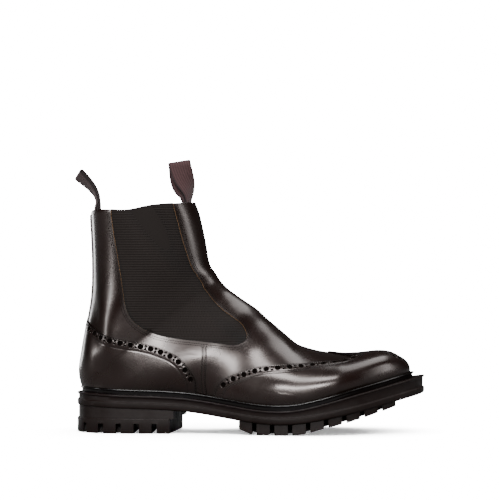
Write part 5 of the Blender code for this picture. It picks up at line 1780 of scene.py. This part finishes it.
def worn_leather(name, colour, roughness, patch, share):
    """Unpolished leather whose colour darkens to a SHARE of itself in soft patches."""
    look, tree, base, place = grained(name, {"Roughness": roughness}, GRAIN_SIZE, GRAIN_DEPTH, 3.0)
    worn = add(tree, "ShaderNodeTexNoise", "Fac", {"Vector": place, "Scale": 1 / patch, "Detail": 3.0})
    worn = add(tree, "ShaderNodeMix", 2, {0: worn, 6: colour, 7: darker(colour, share)}, data_type="RGBA")
    feed(tree, base, {"Base Color": worn})
    return look


@cached
def insole_leather():
    """Vegetable-tanned leather: tan and matt."""
    return worn_leather("tanned insole leather", colours().insole, 0.65, 0.03, 0.75)


@cached
def lining():
    """Smooth lining leather: warm brown and matt."""
    return worn_leather("lining leather", colours().lining, 0.6, 0.02, 0.7)


def woven(name, roughness, sheen, ribs, wefts):
    """A woven material with ribs and wefts as waves on the cloth's own places.

    RIBS and WEFTS are each the way that they follow, their pitch and their depth in metres.
    """
    sockets = {"Roughness": roughness, "Sheen Weight": sheen, "Specular IOR Level": 0.25}
    look, tree, base = shader(name, sockets)
    cloth = add(tree, "ShaderNodeAttribute", "Vector", attribute_name="cloth")
    waves = []
    for way, pitch, _ in (ribs, wefts):
        sockets = {"Vector": cloth, "Scale": WAVE_LENGTH / pitch}
        waves.append(add(tree, "ShaderNodeTexWave", "Fac", sockets, wave_type="BANDS", bands_direction=way))
    first = add(tree, "ShaderNodeBump", 0, {"Height": waves[0], "Distance": ribs[2]})
    second = add(tree, "ShaderNodeBump", 0, {"Height": waves[1], "Distance": wefts[2], "Normal": first})
    feed(tree, base, {"Normal": second})
    return look, tree, base, waves[0]


@cached
def elastic_cloth():
    """Ribbed elastic: matt, with fine level ribs that break the light, and painted shade between them."""
    paint = colours().elastic
    look, tree, base, rib = woven("ribbed elastic", 0.82, 0.04, ELASTIC_RIBS, ELASTIC_WEFTS)
    # Painted shade between the ribs: the rib troughs are darker.
    shade = add(tree, "ShaderNodeMapRange", "Result", {0: rib, 3: 0.75, 4: 1.0})
    # The mask darkens the elastic as painted shade under the leather's edges, at the lower corner and in
    # the hollow.
    dark_tone_and_shade = add(tree, "ShaderNodeAttribute", "Fac", attribute_name="dark_tone_and_shade")
    tone = add(tree, "ShaderNodeMix", 2, {0: dark_tone_and_shade, 6: paint, 7: darker(paint, 0.35)}, data_type="RGBA")
    tone = add(tree, "ShaderNodeMix", 2, {0: shade, 6: darker(paint, 0.3), 7: tone}, data_type="RGBA")
    feed(tree, base, {"Base Color": tone})
    return look


@cached
def webbing():
    """Ribbed tape: purple-brown, matt, with painted shade between its ribs and a darker woven edge."""
    paint = colours()
    look, tree, base, rib = woven("ribbed tape", 0.85, 0.1, TAPE_RIBS, TAPE_WEFTS)
    # Painted shade between the ribs: the rib troughs are darker.
    rib_shade = darker(paint.tape, 0.6)
    tone = add(tree, "ShaderNodeMix", 2, {0: rib, 6: rib_shade, 7: paint.tape}, data_type="RGBA")
    dark_tone_and_shade = add(tree, "ShaderNodeAttribute", "Fac", attribute_name="dark_tone_and_shade")
    tone = add(tree, "ShaderNodeMix", 2, {0: dark_tone_and_shade, 6: tone, 7: paint.tape_edge}, data_type="RGBA")
    feed(tree, base, {"Base Color": tone})
    return look


@cached
def rubber():
    """Moulded rubber: dark brown, satin, slightly dusty."""
    paint = colours().rubber
    sockets = {"Specular IOR Level": 0.22}
    look, tree, base, place = grained("moulded rubber", sockets, RUBBER_GRAIN, RUBBER_DEPTH, 3.0)
    dust = add(tree, "ShaderNodeTexNoise", "Fac", {"Vector": place, "Scale": 1 / DUST_PATCH, "Detail": 3.0})
    shades = {0: dust, 6: darker(paint, 0.75), 7: darker(paint, 1.2)}
    tone = add(tree, "ShaderNodeMix", 2, shades, data_type="RGBA")
    rubbed = {"Vector": place, "Scale": 1 / RUBBED_PATCH, "Detail": 3.0}
    rough = add(tree, "ShaderNodeTexNoise", "Fac", rubbed)
    rough = add(tree, "ShaderNodeMapRange", "Result", {0: rough, 1: 0.3, 2: 0.7, 3: 0.42, 4: 0.62})
    feed(tree, base, {"Base Color": tone, "Roughness": rough})
    return look


@cached
def dressed_edge():
    """The welt's edge: inked black, waxed and glossy, so its lip draws a thin line of light."""
    sockets = {"Base Color": colours().welt, "Roughness": 0.22, "Specular IOR Level": 0.35}
    return grained("dressed welt edge", sockets, WAX_GRAIN, GRAIN_DEPTH, 3.0)[0]


@cached
def thread():
    """Waxed sewing thread: dark and nearly matt, with fine fibres."""
    sockets = {"Base Color": colours().thread, "Roughness": 0.7, "Specular IOR Level": 0.12}
    return grained("waxed thread", sockets, THREAD_FIBRE, GRAIN_DEPTH, 2.0)[0]


def area_light(name, place, target, width, height, power):
    """A soft box that faces a target."""
    data = bpy.data.lights.new(name, "AREA")
    data.shape = "RECTANGLE"
    data.size = width
    data.size_y = height
    data.energy = power
    lamp = bpy.data.objects.new(name, data)
    lamp.location = place
    way = Vector(target) - Vector(place)
    lamp.rotation_euler = way.to_track_quat("-Z", "Y").to_euler()
    bpy.context.scene.collection.objects.link(lamp)


def seen_only(tree, seen, otherwise):
    """A number that is SEEN for the camera's own rays and OTHERWISE for light that bounces."""
    ray = add(tree, "ShaderNodeLightPath", "Is Camera Ray")
    return add(tree, "ShaderNodeMapRange", "Result", {"Value": ray, "To Min": otherwise, "To Max": seen})


def make_stage():
    """White floor under a white sky, a wash of light on the floor, soft boxes and the camera.

    The wash is a broad lamp that lights the floor alone, so that the floor is pure white round
    the boot's soft shadow and the boot keeps its own light.
    """
    scene = bpy.context.scene
    size = FLOOR_SIZE / 2
    mesh = bpy.data.meshes.new("floor")
    corners = [(-size, -size, 0), (size, -size, 0), (size, size, 0), (-size, size, 0)]
    mesh.from_pydata(corners, [], [(0, 1, 2, 3)])
    sockets = {"Roughness": 0.9, "Specular IOR Level": 0.0, "Emission Color": WHITE}
    look, tree, base = shader("studio floor", sockets)
    tone = seen_only(tree, colours().floor[0], FLOOR_BOUNCE)
    feed(tree, base, {"Base Color": tone, "Emission Strength": seen_only(tree, FLOOR_GLOW, 0.0)})
    mesh.materials.append(look)
    floor = bpy.data.objects.new("floor", mesh)
    scene.collection.objects.link(floor)
    world = bpy.data.worlds.new("studio")
    scene.world = world
    world.use_nodes = True
    tree = world.node_tree
    feed(tree, tree.nodes["Background"], {"Color": WHITE, "Strength": seen_only(tree, SKY_SEEN, SKY_GLOW)})
    wash = bpy.data.objects.new("floor_wash", bpy.data.lights.new("floor_wash", "SUN"))
    wash.data.energy = WASH_STRENGTH
    wash.data.angle = np.radians(WASH_SPREAD)
    wash.rotation_euler = [np.radians(turn) for turn in WASH_TURN]
    scene.collection.objects.link(wash)
    lit = bpy.data.collections.new("lit_by_wash")
    lit.objects.link(floor)
    wash.light_linking.receiver_collection = lit
    for light in LIGHTS:
        area_light(*light)
    angle = np.radians(CAMERA_TURN)
    data = bpy.data.cameras.new("camera")
    data.sensor_fit = "HORIZONTAL"
    data.sensor_width = 36.0
    data.lens = CAMERA_LENS
    data.shift_x, data.shift_y = CAMERA_SHIFT
    camera = bpy.data.objects.new("camera", data)
    camera.location = (SHIFT[0] + CAMERA_AWAY * np.sin(angle), -CAMERA_AWAY * np.cos(angle), CAMERA_HEIGHT)
    camera.rotation_euler = (np.pi / 2, 0.0, angle)
    scene.collection.objects.link(camera)
    scene.camera = camera


def finish_insole():
    """The insole and its filling stay as the part has them, in tanned leather."""
    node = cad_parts["insole"]
    node.data.materials.clear()
    node.data.materials.append(insole_leather())


class BOOT_OT_upper(bpy.types.Operator):
    """Build the upper with its rim, lining and cut edges."""

    bl_idname = "boot.upper"
    bl_label = "Upper"

    def execute(self, context):
        make_upper()
        return {"FINISHED"}


class BOOT_OT_gores(bpy.types.Operator):
    """Build both elastic gores."""

    bl_idname = "boot.gores"
    bl_label = "Elastic gores"

    def execute(self, context):
        make_gore(-1, "elastic_lateral", "gore_lateral")
        make_gore(1, "elastic_medial", "gore_medial")
        return {"FINISHED"}


class BOOT_OT_overlays(bpy.types.Operator):
    """Build the toe and heel overlays with their gimped edges and punched holes."""

    bl_idname = "boot.overlays"
    bl_label = "Toe and heel overlays"

    def execute(self, context):
        make_wing()
        make_counter()
        return {"FINISHED"}


class BOOT_OT_strips(bpy.types.Operator):
    """Build the back strip and both side seam strips."""

    bl_idname = "boot.strips"
    bl_label = "Back strip and side seams"

    def execute(self, context):
        make_back_strip()
        make_side_seam(-1, "seam_strip_lateral", "side_seam_lateral")
        make_side_seam(1, "seam_strip_medial", "side_seam_medial")
        return {"FINISHED"}


class BOOT_OT_stitching(bpy.types.Operator):
    """Sew the leather."""

    bl_idname = "boot.stitching"
    bl_label = "Stitching"

    def execute(self, context):
        make_stitching()
        return {"FINISHED"}


class BOOT_OT_loops(bpy.types.Operator):
    """Build both pull loops."""

    bl_idname = "boot.loops"
    bl_label = "Pull loops"

    def execute(self, context):
        surface = last()
        front = surface.at(RIM_STATION, 0.0, -WALL) - np.array((FRONT_LOOP_INSET, 0, 0))
        back = surface.at(RIM_STATION - LOOP_DROP, 1.0, -WALL) + np.array((BACK_LOOP_INSET, 0, 0))
        make_loop("tape_front", "pull_loop_front", FRONT_LOOP, front, -LOOP_CUP)
        make_loop("tape_back", "pull_loop_back", BACK_LOOP, back, LOOP_CUP)
        return {"FINISHED"}


class BOOT_OT_welt(bpy.types.Operator):
    """Build the welt with its stitches."""

    bl_idname = "boot.welt"
    bl_label = "Welt"

    def execute(self, context):
        make_welt()
        return {"FINISHED"}


class BOOT_OT_sole(bpy.types.Operator):
    """Build outsole, lugs and heel, and finish the insole."""

    bl_idname = "boot.sole"
    bl_label = "Sole and heel"

    def execute(self, context):
        make_outsole()
        make_heel()
        finish_insole()
        return {"FINISHED"}


class BOOT_OT_stage(bpy.types.Operator):
    """Set the floor, the soft boxes and the camera."""

    bl_idname = "boot.stage"
    bl_label = "Studio"

    def execute(self, context):
        make_stage()
        return {"FINISHED"}


OPERATORS = (
    BOOT_OT_upper,
    BOOT_OT_gores,
    BOOT_OT_overlays,
    BOOT_OT_strips,
    BOOT_OT_stitching,
    BOOT_OT_loops,
    BOOT_OT_welt,
    BOOT_OT_sole,
    BOOT_OT_stage,
)


class BOOT_PT_panel(bpy.types.Panel):
    """The boot's sizes, colours and pieces in the sidebar."""

    bl_idname = "BOOT_PT_panel"
    bl_label = "Brogue boot"
    bl_space_type = "VIEW_3D"
    bl_region_type = "UI"
    bl_category = "Boot"

    def draw(self, context):
        for group in (context.scene.boot_sizes, context.scene.boot_colours):
            box = self.layout.box()
            for name in group.__annotations__:
                box.prop(group, name)
        for kind in OPERATORS:
            self.layout.operator(kind.bl_idname)


def register():
    """Registers the classes and the scene's two groups of values."""
    for kind in (BootSizes, BootColours, *OPERATORS, BOOT_PT_panel):
        bpy.utils.register_class(kind)
    bpy.types.Scene.boot_sizes = bpy.props.PointerProperty(type=BootSizes)
    bpy.types.Scene.boot_colours = bpy.props.PointerProperty(type=BootColours)


def unregister():
    """Takes them away again."""
    del bpy.types.Scene.boot_colours
    del bpy.types.Scene.boot_sizes
    for kind in (BOOT_PT_panel, *OPERATORS[::-1], BootColours, BootSizes):
        bpy.utils.unregister_class(kind)


def main():
    """Builds every piece and the stage in order."""
    register()
    bpy.ops.boot.upper()
    bpy.ops.boot.gores()
    bpy.ops.boot.overlays()
    bpy.ops.boot.strips()
    bpy.ops.boot.stitching()
    bpy.ops.boot.loops()
    bpy.ops.boot.welt()
    bpy.ops.boot.sole()
    bpy.ops.boot.stage()


if __name__ == "__main__":
    main()
